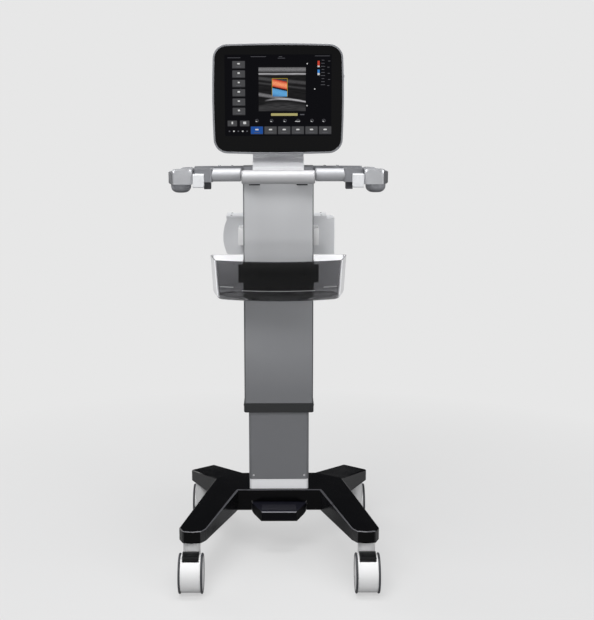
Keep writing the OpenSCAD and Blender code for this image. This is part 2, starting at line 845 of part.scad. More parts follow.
// Plan of the tray: straight back, sides narrowing to the front, bowed front wall
function tray_plan(back_w, front_w, depth, bow) = concat(
    [[back_w / 2, 0], [-back_w / 2, 0]],
    [for (i = [-6:6]) let (t = i / 6) [t * front_w / 2, -depth + bow * t * t]]
);

// Level slice of the tray; taper is 0 at the rim and 1 at the floor
module tray_slice(z, inset, taper, drop) {
    r = 10;
    translate([0, tray_back - inset, z]) linear_extrude(0.1)
        offset(r, $fn = edge_fn) offset(-r) polygon(tray_plan(
            tray_w - 12 * taper - 2 * inset, tray_front_w - 12 * taper - 2 * inset,
            tray_d - drop - 2 * inset, tray_bow));
}

module tray_form(inset) {
    top = tray_low + tray_h;
    hull() {
        tray_slice(tray_low + inset, inset + 8, 1, 6);
        tray_slice(tray_low + 3 + inset, inset + 2.5, 1, 6);
        tray_slice(tray_low + 9 + inset, inset, 0.92, 5);
        tray_slice(top - lip_h, inset, 0.15, 2);
    }
    hull() {
        tray_slice(top - lip_h, inset, 0.15, 2);
        tray_slice(top + (inset > 0 ? 0.5 : -0.1), inset, 0, 0);
    }
}

module tray() {
    color([0.35, 0.35, 0.36, 0.6]) difference() {
        tray_form(0);
        tray_form(tray_wall);
        // notch in the back wall above the bracket, as wide as the column
        translate([-sleeve_w / 2 - 0.5, tray_back - tray_wall - 3, bracket_top])
            cube([sleeve_w + 1, tray_wall + 4, tray_h]);
    }
}

cheek_w = 12;
cheek_gap = 0.2;
bracket_rise = 74;
cheek_rise = 26;
cheek_h = 45;
bracket_top = tray_low + bracket_rise;
cheek_low = tray_low + cheek_rise;

// Bracket that wraps the upper column and hooks into its side slots
module tray_bracket() {
    low = tray_low + 3;
    high = bracket_top;
    in = sleeve_w / 2 + cheek_gap;
    color([0.09, 0.09, 0.09]) difference() {
        union() {
            translate([-in - 1, tray_back, low]) cube([2 * in + 2, bracket_t - cheek_gap, high - low]);
            both_sides() bracket_cheek(in);
        }
        at_knob() translate([0, 0, -knob_shaft - 1]) cylinder(r = knob_shaft_r + fit, h = knob_shaft + 2);
    }
}

module bracket_cheek(in) {
    translate([in, tray_back, cheek_low]) cube([cheek_w, column_y + 12 - tray_back, cheek_h]);
    // key in the column's slot
    translate([in - slot_depth + lip, column_y - slot_w / 2 + lip + 0.3, cheek_low + 4])
        cube([slot_depth + 1, slot_w - 2 * lip - 0.6, cheek_h - 8]);
}

knob_shaft = 10;
knob_shaft_r = 4;

module at_knob() {
    translate([sleeve_w / 2 + cheek_gap + cheek_w, column_y - 24, tray_low + 38])
        rotate([0, 90, 0]) children();
}

module tray_knob() {
    color([0.15, 0.15, 0.15]) at_knob() {
        translate([0, 0, -knob_shaft + 0.5]) cylinder(r = knob_shaft_r, h = knob_shaft);
        cylinder(r = 8, h = 3);
        translate([0, 0, 3]) cylinder(r = 11, h = 6);
        for (a = [0:45:315]) rotate([0, 0, a])
            translate([10.5, 0, 3]) cylinder(r = 1.6, h = 6, $fn = 16);
    }
}

// ---------- rear box ----------

box_low = sleeve_top - box_drop;
box_y = sleeve_rear + box_gap;
box_left = -box_w / 2 + 6;
body_h = box_h - lid_h;
inlet_w = 28;
inlet_h = 22;
inlet_x = box_left + box_w * 5 / 44;
inlet_z = box_low + 14;

module rear_box() {
    bulge_r = (body_h * body_h / 4 + box_bulge * box_bulge) / (2 * box_bulge);
    color([0.68, 0.68, 0.7]) difference() {
        union() {
            translate([box_left, box_y, box_low]) cube([box_w, box_d, body_h]);
            // bulged left end
            intersection() {
                translate([box_left - box_bulge + bulge_r, box_y + box_d / 2, box_low + body_h / 2])
                    rotate([90, 0, 0]) cylinder(r = bulge_r, h = box_d, center = true, $fn = 160);
                translate([box_left - box_bulge, box_y, box_low]) cube([2 * box_bulge, box_d, body_h]);
            }
        }
        translate([box_left + box_wall, box_y + box_wall, box_low + box_wall])
            cube([box_w - 2 * box_wall, box_d - 2 * box_wall, body_h]);
        // opening for the mains inlet
        translate([inlet_x - slide_gap, box_y + box_d - box_wall - 1, inlet_z - slide_gap])
            cube([inlet_w + 2 * slide_gap, box_wall + 2, inlet_h + 2 * slide_gap]);
        // cooling slots in the underside
        for (i = [0:8]) translate([box_left + 100 + i * 12, box_y + 20, box_low - 1])
            cube([5, box_d - 40, box_wall + 2]);
    }
}

module rear_box_lid() {
    color([0.72, 0.72, 0.74]) {
        translate([box_left - 2, box_y, box_low + body_h]) cube([box_w - 17, box_d, lid_h]);
        translate([box_left + box_wall + slide_gap, box_y + box_wall + slide_gap, box_low + body_h - 3])
            cube([box_w - 2 * (box_wall + slide_gap) - 16, box_d - 2 * (box_wall + slide_gap), 3]);
        translate([box_left + box_w - 20, box_y, box_low + body_h]) cube([20, box_d, 1.5]);
    }
}

// Mains power supply on the box's floor
module power_supply() {
    color([0.6, 0.6, 0.58]) translate([box_left + box_w * 0.35, box_y + box_d * 0.175, box_low + box_wall])
        cube([box_w * 0.545, box_d * 0.65, body_h * 0.735]);
}

module mains_inlet() {
    y = box_y + box_d;
    color([0.1, 0.1, 0.1]) difference() {
        union() {
            translate([inlet_x, y - 18, inlet_z]) cube([inlet_w, 18, inlet_h]);
            translate([inlet_x - 4, y, inlet_z - 3]) cube([inlet_w + 8, 2, inlet_h + 6]);
        }
        translate([inlet_x + 3, y - 14, inlet_z + 3]) cube([inlet_w - 6, 20, inlet_h - 6]);
    }
    color("silver") for (i = [0:2])
        translate([inlet_x + inlet_w / 2 + (i - 1) * 6, y - 14.5, inlet_z + (i == 1 ? 12 : 8)]) rotate([-90, 0, 0])
            cylinder(r = 1, h = 11, $fn = 16);
}

module rear_clamps() {
    in = sleeve_w / 2 + cheek_gap;
    low = box_low + 31;
    h = 41;
    color([0.85, 0.85, 0.87]) both_sides() {
        translate([in, column_y - 14, low]) cube([13, box_y - column_y + 14, h]);
        translate([in - slot_depth + lip, column_y - slot_w / 2 + lip + 0.3, low + 3])
            cube([slot_depth + 1, slot_w - 2 * lip - 0.6, h - 6]);
    }
}

// ---------- neck and tilt hinge ----------

tilt_z = casting_top + tilt_rise;
knuckle_r = knuckle_d / 2;
ear_in = 36;
ear_w = 14;
neck_front = column_y - 12;
neck_foot_back = neck_front + neck_t + 16;
apron_t = 3;                                           // neck's apron over the casting's front

module neck() {
    color([0.6, 0.6, 0.62]) difference() {
        union() {
            x_prism([
                [sleeve_front - apron_t, casting_top - 30], [sleeve_front - apron_t, casting_top],
                [neck_front - 6, casting_top + 18], [neck_front, casting_top + 28],
                [neck_front, tilt_z - knuckle_r], [neck_front + neck_t, tilt_z - knuckle_r],
                [neck_front + neck_t, casting_top + 10], [neck_foot_back, casting_top + 7],
                [neck_foot_back, casting_top], [sleeve_front, casting_top],
                [sleeve_front, casting_top - 30]
            ], neck_w);
            both_sides() {
                translate([ear_in + ear_w / 2, column_y, tilt_z]) x_cylinder(knuckle_r, ear_w);
                translate([ear_in, column_y - knuckle_r + 4, tilt_z - knuckle_r - 8])
                    cube([ear_w, 2 * knuckle_r - 8, knuckle_r + 8]);
            }
        }
        translate([0, column_y, tilt_z]) x_cylinder(tilt_pin_d / 2 + fit, neck_w);
        // room for the barrel between the ears
        translate([0, column_y, tilt_z]) x_cylinder(knuckle_r + 1, 2 * ear_in);
        // hollow for the screen's cable at the back
        translate([-25, neck_front + 6, casting_top + 14]) cube([50, neck_t, tilt_rise - 50]);
    }
}

module tilt_pin() {
    color("silver") translate([0, column_y, tilt_z]) {
        x_cylinder(tilt_pin_d / 2, 2 * (ear_in + ear_w) + 2);
        for (s = [-1, 1]) translate([s * (ear_in + ear_w + 2.5), 0, 0])
            x_cylinder(tilt_pin_d / 2 + 3, 4);
    }
}

tablet_front = column_y - 65;
tablet_back = tablet_front + tablet_t;
tablet_z = tilt_z + 39;
cradle_t = 5;

module tilt_bracket() {
    flange = tablet_back + cradle_t;
    barrel_w = 2 * (ear_in - slide_gap);
    color([0.3, 0.3, 0.31]) difference() {
        union() {
            translate([0, column_y, tilt_z]) x_cylinder(knuckle_r - 1, barrel_w);
            translate([-ear_in + 1, flange, tilt_z - 12]) cube([2 * ear_in - 2, column_y - flange, 24]);
            translate([-ear_in + 1, flange, tilt_z - 14]) cube([2 * ear_in - 2, 4, 54]);
        }
        translate([0, column_y, tilt_z]) x_cylinder(tilt_pin_d / 2 + fit, barrel_w + 2);
    }
}

module cradle() {
    color([0.35, 0.35, 0.37]) difference() {
        translate([0, tablet_back + cradle_t, tablet_z]) rotate([90, 0, 0])
            linear_extrude(cradle_t) round_rect(cradle_w, cradle_h, 10);
        // slots that lighten the plate
        for (s = [-1, 1], i = [0:2])
            translate([s * (cradle_w / 2 - 18) - 6, tablet_back - 1, tablet_z - 40 + 30 * i])
                cube([12, cradle_t + 2, 16]);
    }
}

// ---------- tablet ----------

// Rectangle whose corners are arcs and whose sides bow out by the crown
function crowned(w, h, r) = let (hx = w / 2 - r - crown, hy = h / 2 - r - crown)
    [for (q = [0:3]) let (s = [[1, 1], [-1, 1], [-1, -1], [1, -1]][q], swap = q % 2)
        for (i = [0:12]) let (
            a = q * 90 + (i < 2 ? 0 : i > 10 ? 90 : (i - 2) * 90 / 8),
            along = i < 2 ? i / 2 : i > 10 ? (12 - i) / 2 : 1,
            bow = crown * (1 - along * along),
            edge_y = i < 2 ? along : 1,
            edge_x = i > 10 ? along : 1)
        swap == 0
            ? [s[0] * hx * edge_x + r * cos(a) + (i < 2 ? s[0] * bow : 0),
               s[1] * hy * edge_y + r * sin(a) + (i > 10 ? s[1] * bow : 0)]
            : [s[0] * hx * edge_y + r * cos(a) + (i > 10 ? s[0] * bow : 0),
               s[1] * hy * edge_x + r * sin(a) + (i < 2 ? s[1] * bow : 0)]];

// Slab of the tablet from depth y0 to y1 behind its front plane, inset all round
module tablet_slab(inset, y0, y1) {
    translate([0, tablet_front + y1, tablet_z]) rotate([90, 0, 0]) linear_extrude(y1 - y0)
        polygon(crowned(tablet_w - 2 * inset, tablet_h - 2 * inset, tablet_r - inset));
}

// Plain opening through the tablet's layers
module tablet_window(w, h, y0, y1) {
    translate([-w / 2, tablet_front + y0, tablet_z - h / 2]) cube([w, y1 - y0, h]);
}

rim_back = 14;                                         // depth of the bezel
glass_front = 0.4;                                     // rim stands this far proud of the glass
screen_z = 8.5;                                        // screen centre above the tablet's centre
board_y = rim_back + 4;
button_z = tablet_z + 52;
button_len = 8;
button_proud = 0.8;

module front_bezel() {
    seat = glass_front + glass_t;
    color([0.8, 0.8, 0.82]) difference() {
        tablet_slab(0, 0, rim_back);
        tablet_slab(rim_w, -1, seat);
        translate([0, 0, screen_z]) tablet_window(screen_w + 8, screen_h + 8, 0, rim_back + 1);
        // bore of the power button in the right edge
        translate([tablet_w / 2, tablet_front + rim_back / 2 + 1, button_z])
            x_cylinder(button_d / 2 + slide_gap, 2 * (button_len - button_proud + button_travel + 0.4));
    }
}

module touch_glass() {
    color([0.02, 0.02, 0.02]) tablet_slab(rim_w + 0.1, glass_front, glass_front + glass_t);
}

module display_panel() {
    front = glass_front + glass_t + 0.2;
    color([0.1, 0.12, 0.15]) translate([0, 0, screen_z])
        tablet_window(screen_w + 7, screen_h + 7, front, rim_back - 2);
}

module rear_housing() {
    boss = 5;
    color([0.75, 0.75, 0.77]) difference() {
        union() {
            difference() {
                hull() {
                    tablet_slab(0, rim_back, rim_back + 8);
                    tablet_slab(3, rim_back, tablet_t - 8);
                    tablet_slab(12, rim_back, tablet_t);
                }
                hull() {
                    tablet_slab(housing_wall, rim_back - 1, rim_back + 8);
                    tablet_slab(3 + housing_wall, rim_back - 1, tablet_t - 8 - housing_wall);
                    tablet_slab(12 + housing_wall, rim_back - 1, tablet_t - housing_wall);
                }
            }
            // posts that carry the main board
            for (x = [-1, 1], z = [socket_z + socket_h + 2 * boss, tablet_z + board_h / 2 - board_post])
                translate([x * (board_w / 2 - board_post), tablet_front + tablet_t - housing_wall + 0.5, z])
                    rotate([90, 0, 0]) cylinder(r = boss, h = tablet_t - housing_wall + 0.5 - board_y - 1.6);
        }
        // cooling slots
        for (i = [-9:9]) translate([i * 9 - 2, tablet_front + tablet_t - 6, tablet_z + 86])
            cube([4, 10, 20]);
        // opening of the probe socket
        translate([-socket_x - slide_gap, tablet_front + tablet_t - 6, socket_z - slide_gap])
            cube([socket_w + 2 * slide_gap, 10, socket_h + 2 * slide_gap]);
    }
}

board_side = 44;                                       // tablet's side to the board's edge
board_end = 42;                                        // tablet's top or bottom to the board's edge
board_w = tablet_w - 2 * board_side;
board_h = tablet_h - 2 * board_end;
board_post = 8;                                        // board's edge to its posts
battery_side = 33;                                     // battery's edges inside the board's
battery_end = 39;
battery_drop = 20;

module main_board() {
    color([0.05, 0.35, 0.2]) {
        translate([-board_w / 2, tablet_front + board_y, tablet_z - board_h / 2])
            cube([board_w, 1.6, board_h]);
        for (p = [[-60, 30, 34], [5, 34, 28], [60, 24, 40], [-70, -50, 30], [20, -46, 44]])
            translate([p[0], tablet_front + board_y + 1.6, tablet_z + p[1]]) cube([p[2], 3, p[2] * 0.7]);
    }
}

module battery_pack() {
    back = tablet_t - housing_wall - slide_gap;
    color([0.2, 0.2, 0.22]) translate([14, tablet_front + back, tablet_z - battery_drop]) rotate([90, 0, 0])
        linear_extrude(11) round_rect(board_w - 2 * battery_side, board_h - 2 * battery_end, 4);
}

socket_w = 56;
socket_h = 22;
socket_x = 128;
socket_rise = 48;                                      // socket above the tablet's lower edge
socket_z = tablet_z - tablet_h / 2 + socket_rise;

module probe_socket() {
    color([0.15, 0.15, 0.16]) difference() {
        translate([-socket_x, tablet_front + board_y + 2, socket_z])
            cube([socket_w, tablet_t - board_y + 2, socket_h]);
        translate([-socket_x + 4, tablet_front + tablet_t - 6, socket_z + 4])
            cube([socket_w - 8, 12, socket_h - 8]);
    }
}

module power_button() {
    color([0.6, 0.6, 0.62])
        translate([tablet_w / 2 + button_proud - button_len / 2, tablet_front + rim_back / 2 + 1, button_z])
            x_cylinder(button_d / 2, button_len);
}

// ---------- nodes ----------

base_cover();
base_chassis();
column_foot();
lower_column();
column_guide();
gas_spring_cylinder();
pedal_pin();
foot_pedal();
pedal_pad();
release_pin();
upper_column();
column_collar();
gas_spring_rod();
handle_casting();
front_grip();
side_grips();
left_probe_holder();
right_probe_holder();
cup_liners();
cable_hooks();
grip_stops();
casting_clips();
tray();
tray_bracket();
tray_knob();
rear_box();
power_supply();
rear_box_lid();
rear_clamps();
mains_inlet();
neck();
tilt_pin();
tilt_bracket();
cradle();
rear_housing();
front_bezel();
touch_glass();
display_panel();
main_board();
battery_pack();
probe_socket();
power_button();
at_caster(-1, -1) hood(true);  // front_left_hood
at_caster(-1, -1) pins();  // front_left_pins
at_caster(-1, -1) wheels();  // front_left_wheels
at_caster(-1, -1) tyres();  // front_left_tyres
at_caster(1, -1) hood(true);  // front_right_hood
at_caster(1, -1) pins();  // front_right_pins
at_caster(1, -1) wheels();  // front_right_wheels
at_caster(1, -1) tyres();  // front_right_tyres
at_caster(-1, 1) hood(false);  // rear_left_hood
at_caster(-1, 1) pins();  // rear_left_pins
at_caster(-1, 1) wheels();  // rear_left_wheels
at_caster(-1, 1) tyres();  // rear_left_tyres
at_caster(1, 1) hood(false);  // rear_right_hood
at_caster(1, 1) pins();  // rear_right_pins
at_caster(1, 1) wheels();  // rear_right_wheels
at_caster(1, 1) tyres();  // rear_right_tyres
at_caster(-1, -1) brake();  // front_left_brake
at_caster(1, -1) brake();  // front_right_brake
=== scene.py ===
import json
import math

import bmesh
import bpy
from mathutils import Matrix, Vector, noise
from mathutils.bvhtree import BVHTree


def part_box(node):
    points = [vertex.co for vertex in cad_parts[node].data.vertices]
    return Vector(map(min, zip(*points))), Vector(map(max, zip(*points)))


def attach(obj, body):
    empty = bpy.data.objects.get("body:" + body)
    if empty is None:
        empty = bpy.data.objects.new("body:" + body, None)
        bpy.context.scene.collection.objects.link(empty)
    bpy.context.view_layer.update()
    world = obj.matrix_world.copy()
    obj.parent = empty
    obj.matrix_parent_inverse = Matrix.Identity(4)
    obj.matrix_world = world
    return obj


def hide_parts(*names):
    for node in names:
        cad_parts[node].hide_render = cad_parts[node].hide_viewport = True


# Tablet ultrasound machine on a height-adjustable trolley.
# Metres, the CAD frame: origin on the floor, +Z up, the screen faces -Y.

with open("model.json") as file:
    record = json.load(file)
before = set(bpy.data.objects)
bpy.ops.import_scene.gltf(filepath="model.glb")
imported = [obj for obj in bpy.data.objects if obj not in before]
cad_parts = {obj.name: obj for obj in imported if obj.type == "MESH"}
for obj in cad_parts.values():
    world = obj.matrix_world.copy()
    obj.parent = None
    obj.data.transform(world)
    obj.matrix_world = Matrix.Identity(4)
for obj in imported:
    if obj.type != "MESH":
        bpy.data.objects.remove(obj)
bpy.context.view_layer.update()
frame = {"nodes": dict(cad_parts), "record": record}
scene = bpy.context.scene
MM = 0.001

BODY_OF = {n: body for body, names in frame["record"]["behaviour"]["bodies"].items() for n in names}

# Places that several pieces and finishes keep to
TRAY_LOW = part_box("tray")[0][2]
CUP_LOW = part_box("cup_liners")[0][2]
COLLAR_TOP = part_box("column_collar")[1][2]
COLUMN_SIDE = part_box("upper_column")[1][0]
EDGE_ANGLE = 32              # degrees past which an edge is sharp, and is rounded over


# ---------- materials ----------

def linear(hex_colour):
    """sRGB hex to the linear colour that a shader takes."""
    parts = [int(hex_colour[i:i + 2], 16) / 255 for i in (1, 3, 5)]
    return [c / 12.92 if c <= 0.04045 else ((c + 0.055) / 1.055) ** 2.4 for c in parts] + [1]


def add(tree, kind, inputs=None, **settings):
    """Adds a node; inputs are values or the sockets that feed them."""
    n = tree.nodes.new(kind)
    for key, value in settings.items():
        setattr(n, key, value)
    for key, value in (inputs or {}).items():
        if isinstance(value, bpy.types.NodeSocket):
            tree.links.new(value, n.inputs[key])
        else:
            n.inputs[key].default_value = value
    return n


def cleared(holder):
    """The empty node tree of a new material or world."""
    holder.use_nodes = True
    holder.node_tree.nodes.clear()
    return holder.node_tree


def spread(colour, share):
    """The colours a share darker and lighter than a linear one."""
    return [[min(1, c * factor) for c in colour[:3]] + [1] for factor in (1 - share, 1 + share)]


def mixed(tree, factor, low, high):
    """The colour between low and high that a factor picks; each is a value or a socket."""
    return add(tree, "ShaderNodeMix", {0: factor, 6: low, 7: high}, data_type="RGBA").outputs[2]


def finish(name, colour, roughness, metallic=0.0, ior=1.5, grain=1.5, grain_depth=0.02,
           stretch=(1, 1, 1), mottle=0.04, mottle_size=60, rough_spread=0.05, coat=0.0,
           transmission=0.0, lower=None, **sockets):
    """A surface with mottled colour, uneven roughness and a fine grain.

    grain and mottle_size are in millimetres, and stretch draws the grain out along an axis.
    lower is the colour below a height and the two heights that it changes between, in metres,
    and may go on with a colour and a height further down that it fades to.
    """
    m = bpy.data.materials.new(name)
    tree = cleared(m)
    place = add(tree, "ShaderNodeTexCoord").outputs["Object"]
    drawn = add(tree, "ShaderNodeMapping", {"Vector": place, "Scale": stretch}).outputs["Vector"]
    cloud = add(tree, "ShaderNodeTexNoise",
                {"Vector": drawn, "Scale": 1000 / mottle_size, "Detail": 3.0}).outputs["Fac"]
    fine = add(tree, "ShaderNodeTexNoise",
               {"Vector": drawn, "Scale": 1000 / grain, "Detail": 2.0}).outputs["Fac"]
    tone = mixed(tree, cloud, *spread(linear(colour), mottle))
    if lower:
        height = add(tree, "ShaderNodeSeparateXYZ", {"Vector": place}).outputs["Z"]
        step = add(tree, "ShaderNodeMapRange",
                   {"Value": height, "From Min": lower[1], "From Max": lower[2]})
        under = linear(lower[0])
        if len(lower) > 3:
            fade = add(tree, "ShaderNodeMapRange",
                       {"Value": height, "From Min": lower[4], "From Max": lower[1]})
            under = mixed(tree, fade.outputs["Result"], linear(lower[3]), under)
        tone = mixed(tree, step.outputs["Result"], under, tone)
    rough = add(tree, "ShaderNodeMapRange",
                {"Value": cloud, "From Min": 0.3, "From Max": 0.7,
                 "To Min": max(0.01, roughness - rough_spread), "To Max": roughness + rough_spread})
    bump = add(tree, "ShaderNodeBump", {"Height": fine, "Strength": 0.35,
                                        "Distance": grain_depth * MM})
    shader = add(tree, "ShaderNodeBsdfPrincipled",
                 {"Base Color": tone, "Roughness": rough.outputs["Result"],
                  "Normal": bump.outputs["Normal"], "Metallic": metallic, "IOR": ior,
                  "Coat Weight": coat, "Transmission Weight": transmission})
    for key, value in sockets.items():
        shader.inputs[key.replace("_", " ")].default_value = value
    add(tree, "ShaderNodeOutputMaterial", {"Surface": shader.outputs["BSDF"]})
    return m


# Anodised aluminium extrusion, satin: fine draw lines run up the column, and from the tray down a
# painted shade makes it a darker grey that deepens towards the collar
DRAWN = dict(metallic=0.4, grain=0.9, grain_depth=0.02, stretch=(1, 1, 0.02), mottle=0.03,
             mottle_size=40)
SHADE_STARTS, SHADE_ENDS = TRAY_LOW + 60 * MM, TRAY_LOW + 10 * MM
anodised = finish("anodised aluminium extrusion, painted shade below tray", "#D0D1D3", 0.42, **DRAWN,
                  lower=("#AAABAE", SHADE_ENDS, SHADE_STARTS, "#828386", COLLAR_TOP))
# The extrusion's corners and slotted sides, painted darker as a painted dark reflection, and darker
# still below the tray as painted shade
anodised_side_shade = finish("anodised aluminium, side in painted dark reflection", "#8C8D90", 0.42, **DRAWN,
                       lower=("#6C6D70", SHADE_ENDS, SHADE_STARTS))
# Steel tube in grey powder coat: a slight orange peel
powder_grey = finish("grey powder coat on steel", "#7A7B7E", 0.38, metallic=0.3, grain=2.2,
                     grain_depth=0.02, mottle=0.03)
# Die casting sprayed silver: flakes too fine to see give a soft sheen
silver_paint = finish("silver paint on die casting", "#C2C3C6", 0.38, metallic=0.5, grain=0.7,
                      grain_depth=0.008, mottle=0.03, mottle_size=25, coat=0.2)
# The handle's casting, in a darker grey that is partly its paint and partly painted shade of the
# gaps beside the grips and the neck
cast_paint_and_shade = finish("darker grey paint on die casting, with painted shade", "#8C8D91", 0.42, metallic=0.4, grain=0.7,
                    grain_depth=0.01, mottle=0.04, mottle_size=25)
# The side grips' paint, with less metal in it
grip_paint = finish("silver paint on side grips", "#B0B1B4", 0.46, metallic=0.35, grain=0.9,
                    grain_depth=0.004, mottle=0.02, mottle_size=25, rough_spread=0.02)
# The front grip's paint, the least metallic and the softest in gloss
bright_paint = finish("bright silver paint", "#B8B8BA", 0.5, metallic=0.3, grain=1.2,
                      grain_depth=0.004, mottle=0.02, mottle_size=25, rough_spread=0.02)
# Neck and foot cover: the palest coat, with little metal in it
pale_paint = finish("pale silver paint on cast cover", "#F2F2F4", 0.4, metallic=0.1, grain=0.9,
                    grain_depth=0.004, mottle=0.02, mottle_size=30, rough_spread=0.02)
# Outer ends of the probe holders: a darker grey paint, as painted shade
end_shade_paint = finish("dark silver paint, painted shade on outer end", "#707175", 0.4, metallic=0.4, grain=0.7,
                   grain_depth=0.006, mottle=0.03, mottle_size=25)
# Rim of the tablet: the silver paint with more flakes in it, a shade darker
rim_paint = finish("grey silver paint on rim", "#8E8F93", 0.35, metallic=0.6, grain=0.7,
                   grain_depth=0.008, mottle=0.03, mottle_size=25)
# Zinc-plated steel: pins, axles and screws
plated = finish("bright zinc on turned steel", "#C9CACC", 0.22, metallic=1.0, grain=0.6,
                grain_depth=0.01, mottle=0.03, mottle_size=8)
# Blackened steel of the screws in dark parts
blackened = finish("black oxide on steel", "#1E1E20", 0.35, metallic=0.6, grain=0.6,
                   grain_depth=0.01, mottle=0.1, mottle_size=4)
# ABS moulding polished to a black gloss
POLISHED = dict(grain=5, grain_depth=0.01, mottle=0.15, rough_spread=0.03)
gloss_black = finish("gloss black ABS moulding", "#060607", 0.14, **POLISHED,
                     Specular_IOR_Level=0.12)
# Its walls between the legs: a stronger gloss that mirrors the floor, on a lighter black that is a
# painted reflection
sheen_black = finish("gloss black ABS, wall with painted reflection", "#1C1C1E", 0.2, **POLISHED,
                     Specular_IOR_Level=0.8)
# The same moulding on its rounded edges, where a grey line is a painted highlight
edge_highlight = finish("gloss black ABS, painted edge highlight", "#4C4C50", 0.3, grain=3, grain_depth=0.01,
                   mottle=0.2, rough_spread=0.03, Specular_IOR_Level=0.4)
# Glass-filled nylon, black and slightly sheened
black_nylon = finish("black glass-filled nylon", "#0E0E10", 0.42, grain=0.8, grain_depth=0.03,
                     mottle=0.12, mottle_size=15, Specular_IOR_Level=0.35)
# Blue-black nylon of the foot pedal, matt; then its top, painted lighter as painted light from
# above, and its front lip, where a grey line is a painted highlight
pedal_nylon = finish("blue-black moulded nylon", "#06060A", 0.5, grain=1.0, grain_depth=0.02,
                     mottle=0.12, mottle_size=20, Specular_IOR_Level=0.12)
lit_pedal_top = finish("blue-black nylon, top in painted light", "#1A1A23", 0.5, grain=1.0, grain_depth=0.02,
                   mottle=0.12, mottle_size=20, Specular_IOR_Level=0.15)
lip_highlight = finish("moulded nylon, lip with painted highlight", "#77777E", 0.4, grain=2, grain_depth=0.01,
                  mottle=0.15, mottle_size=20)
# Rubber of the tread pad, matt, and of the tyres, grey with a low sheen
pad_rubber = finish("black tread rubber", "#1C1C25", 0.6, grain=0.8, grain_depth=0.06,
                    mottle=0.12, mottle_size=10)
tyre_rubber = finish("grey thermoplastic tyre", "#3E3F43", 0.5, grain=1.0, grain_depth=0.04,
                     mottle=0.08, mottle_size=12)
# ABS of the casters' hoods and wheels, white with a soft gloss
white_abs = finish("white ABS hood", "#E2E2E2", 0.42, grain=1.2, grain_depth=0.01, mottle=0.02,
                   mottle_size=30, Specular_IOR_Level=0.3)
# Clamps of the rear box, the whitest moulding
clamp_white = finish("white ABS clamp", "#FAFAFA", 0.35, grain=1.2, grain_depth=0.01,
                     mottle=0.01, mottle_size=30)
# Light grey ABS with a fine spark texture
box_abs = finish("light grey textured ABS", "#E9EAEC", 0.5, grain=1.1, grain_depth=0.04,
                 mottle=0.03, mottle_size=40)
# Acetal of the cable hooks, near white and slightly waxy
acetal = finish("white acetal", "#DADBDD", 0.28, grain=1.0, grain_depth=0.01, mottle=0.02,
                mottle_size=20)
# Dark collar, moulded in acetal
dark_collar = finish("dark grey acetal collar", "#28292A", 0.35, grain=1.0, grain_depth=0.02,
                     mottle=0.06, mottle_size=20)
# Cup liner, grey elastomer with a soft sheen, painted darker towards its foot as painted shade
shaded_liner_grey = finish("dark grey cup liner, painted shade below", "#A6A7AC", 0.3, grain=1.0, grain_depth=0.02,
                    mottle=0.06, mottle_size=15,
                    lower=("#66676B", CUP_LOW + 4 * MM, CUP_LOW + 14 * MM))
# Hidden steel parts and the tablet's bracket, in black powder coat
black_steel = finish("black powder coat on steel", "#2A2B2D", 0.5, metallic=0.3, grain=1.6,
                     grain_depth=0.04, mottle=0.08)
# Acrylic tray: smoked in front, with its lowest strip painted lighter as a painted reflection;
# frosted at its sides and back, where an emission paints a glow
smoked = finish("smoked acrylic", "#5E5E60", 0.05, ior=1.49, grain=30, grain_depth=0.01,
                mottle=0.02, rough_spread=0.01, transmission=1.0, Specular_IOR_Level=0.3,
                lower=("#767678", TRAY_LOW + 18 * MM, TRAY_LOW + 28 * MM))
FROST_AND_GLOW = dict(ior=1.49, grain=6, grain_depth=0.01, mottle=0.02, rough_spread=0.03, coat=0.4,
             Emission_Color=(1, 1, 1, 1))
frosted = finish("frosted acrylic", "#F4F4F6", 0.2, **FROST_AND_GLOW, Emission_Strength=0.2)
# The tray's sides get a stronger painted glow than its back
frosted_side_glow = finish("frosted acrylic, side with stronger painted glow", "#F4F4F6", 0.2, **FROST_AND_GLOW,
                      Emission_Strength=0.42)
# Moulded line of the tray, whose faint emission is a painted highlight along its edge
tray_line_glint = finish("smoked acrylic, moulded line with painted glint", "#B8B8BA", 0.5, ior=1.49, grain=6,
                   grain_depth=0.01, mottle=0.02, transmission=0.6, Emission_Strength=0.08,
                   Specular_IOR_Level=0.1, Emission_Color=(1, 1, 1, 1))
# Solvent cement, set to a pale bead, whose paleness also paints the highlight along the joints
cement_and_glint = finish("pale solvent cement bead with painted glint", "#E8E8EA", 0.2, ior=1.49, grain=4,
                grain_depth=0.01, mottle=0.03)
# Cover glass with a black print behind it
cover_glass = finish("black-printed cover glass", "#020203", 0.06, ior=1.52, grain=200,
                     grain_depth=0.005, mottle=0.1, rough_spread=0.01, Specular_IOR_Level=0.12)
# Inside pieces: the board's solder mask, the supply's case and the column's guide
board_green = finish("green solder mask", "#1B5A3A", 0.4, grain=1.5, grain_depth=0.05)
supply_case = finish("brushed aluminium case", "#A8A8A4", 0.35, metallic=1.0, grain=0.8,
                     grain_depth=0.02, stretch=(0.03, 1, 1))
guide_nylon = finish("natural nylon guide", "#E6E4DC", 0.4, grain=1.0, grain_depth=0.02)


# ---------- shapes ----------

def mesh_of(bm, name):
    """The finished mesh of a bmesh, which is freed."""
    mesh = bpy.data.meshes.new(name)
    bm.to_mesh(mesh)
    bm.free()
    return mesh


def skin(bm, rings):
    """Walls from ring to ring, the first and last ring closed, all faces outwards."""
    sides = len(rings[0])
    for a, b in zip(rings, rings[1:]):
        for i in range(sides):
            j = (i + 1) % sides
            bm.faces.new((a[i], a[j], b[j], b[i]))
    bm.faces.new(rings[0][::-1])
    bm.faces.new(rings[-1])
    bmesh.ops.recalc_face_normals(bm, faces=bm.faces)


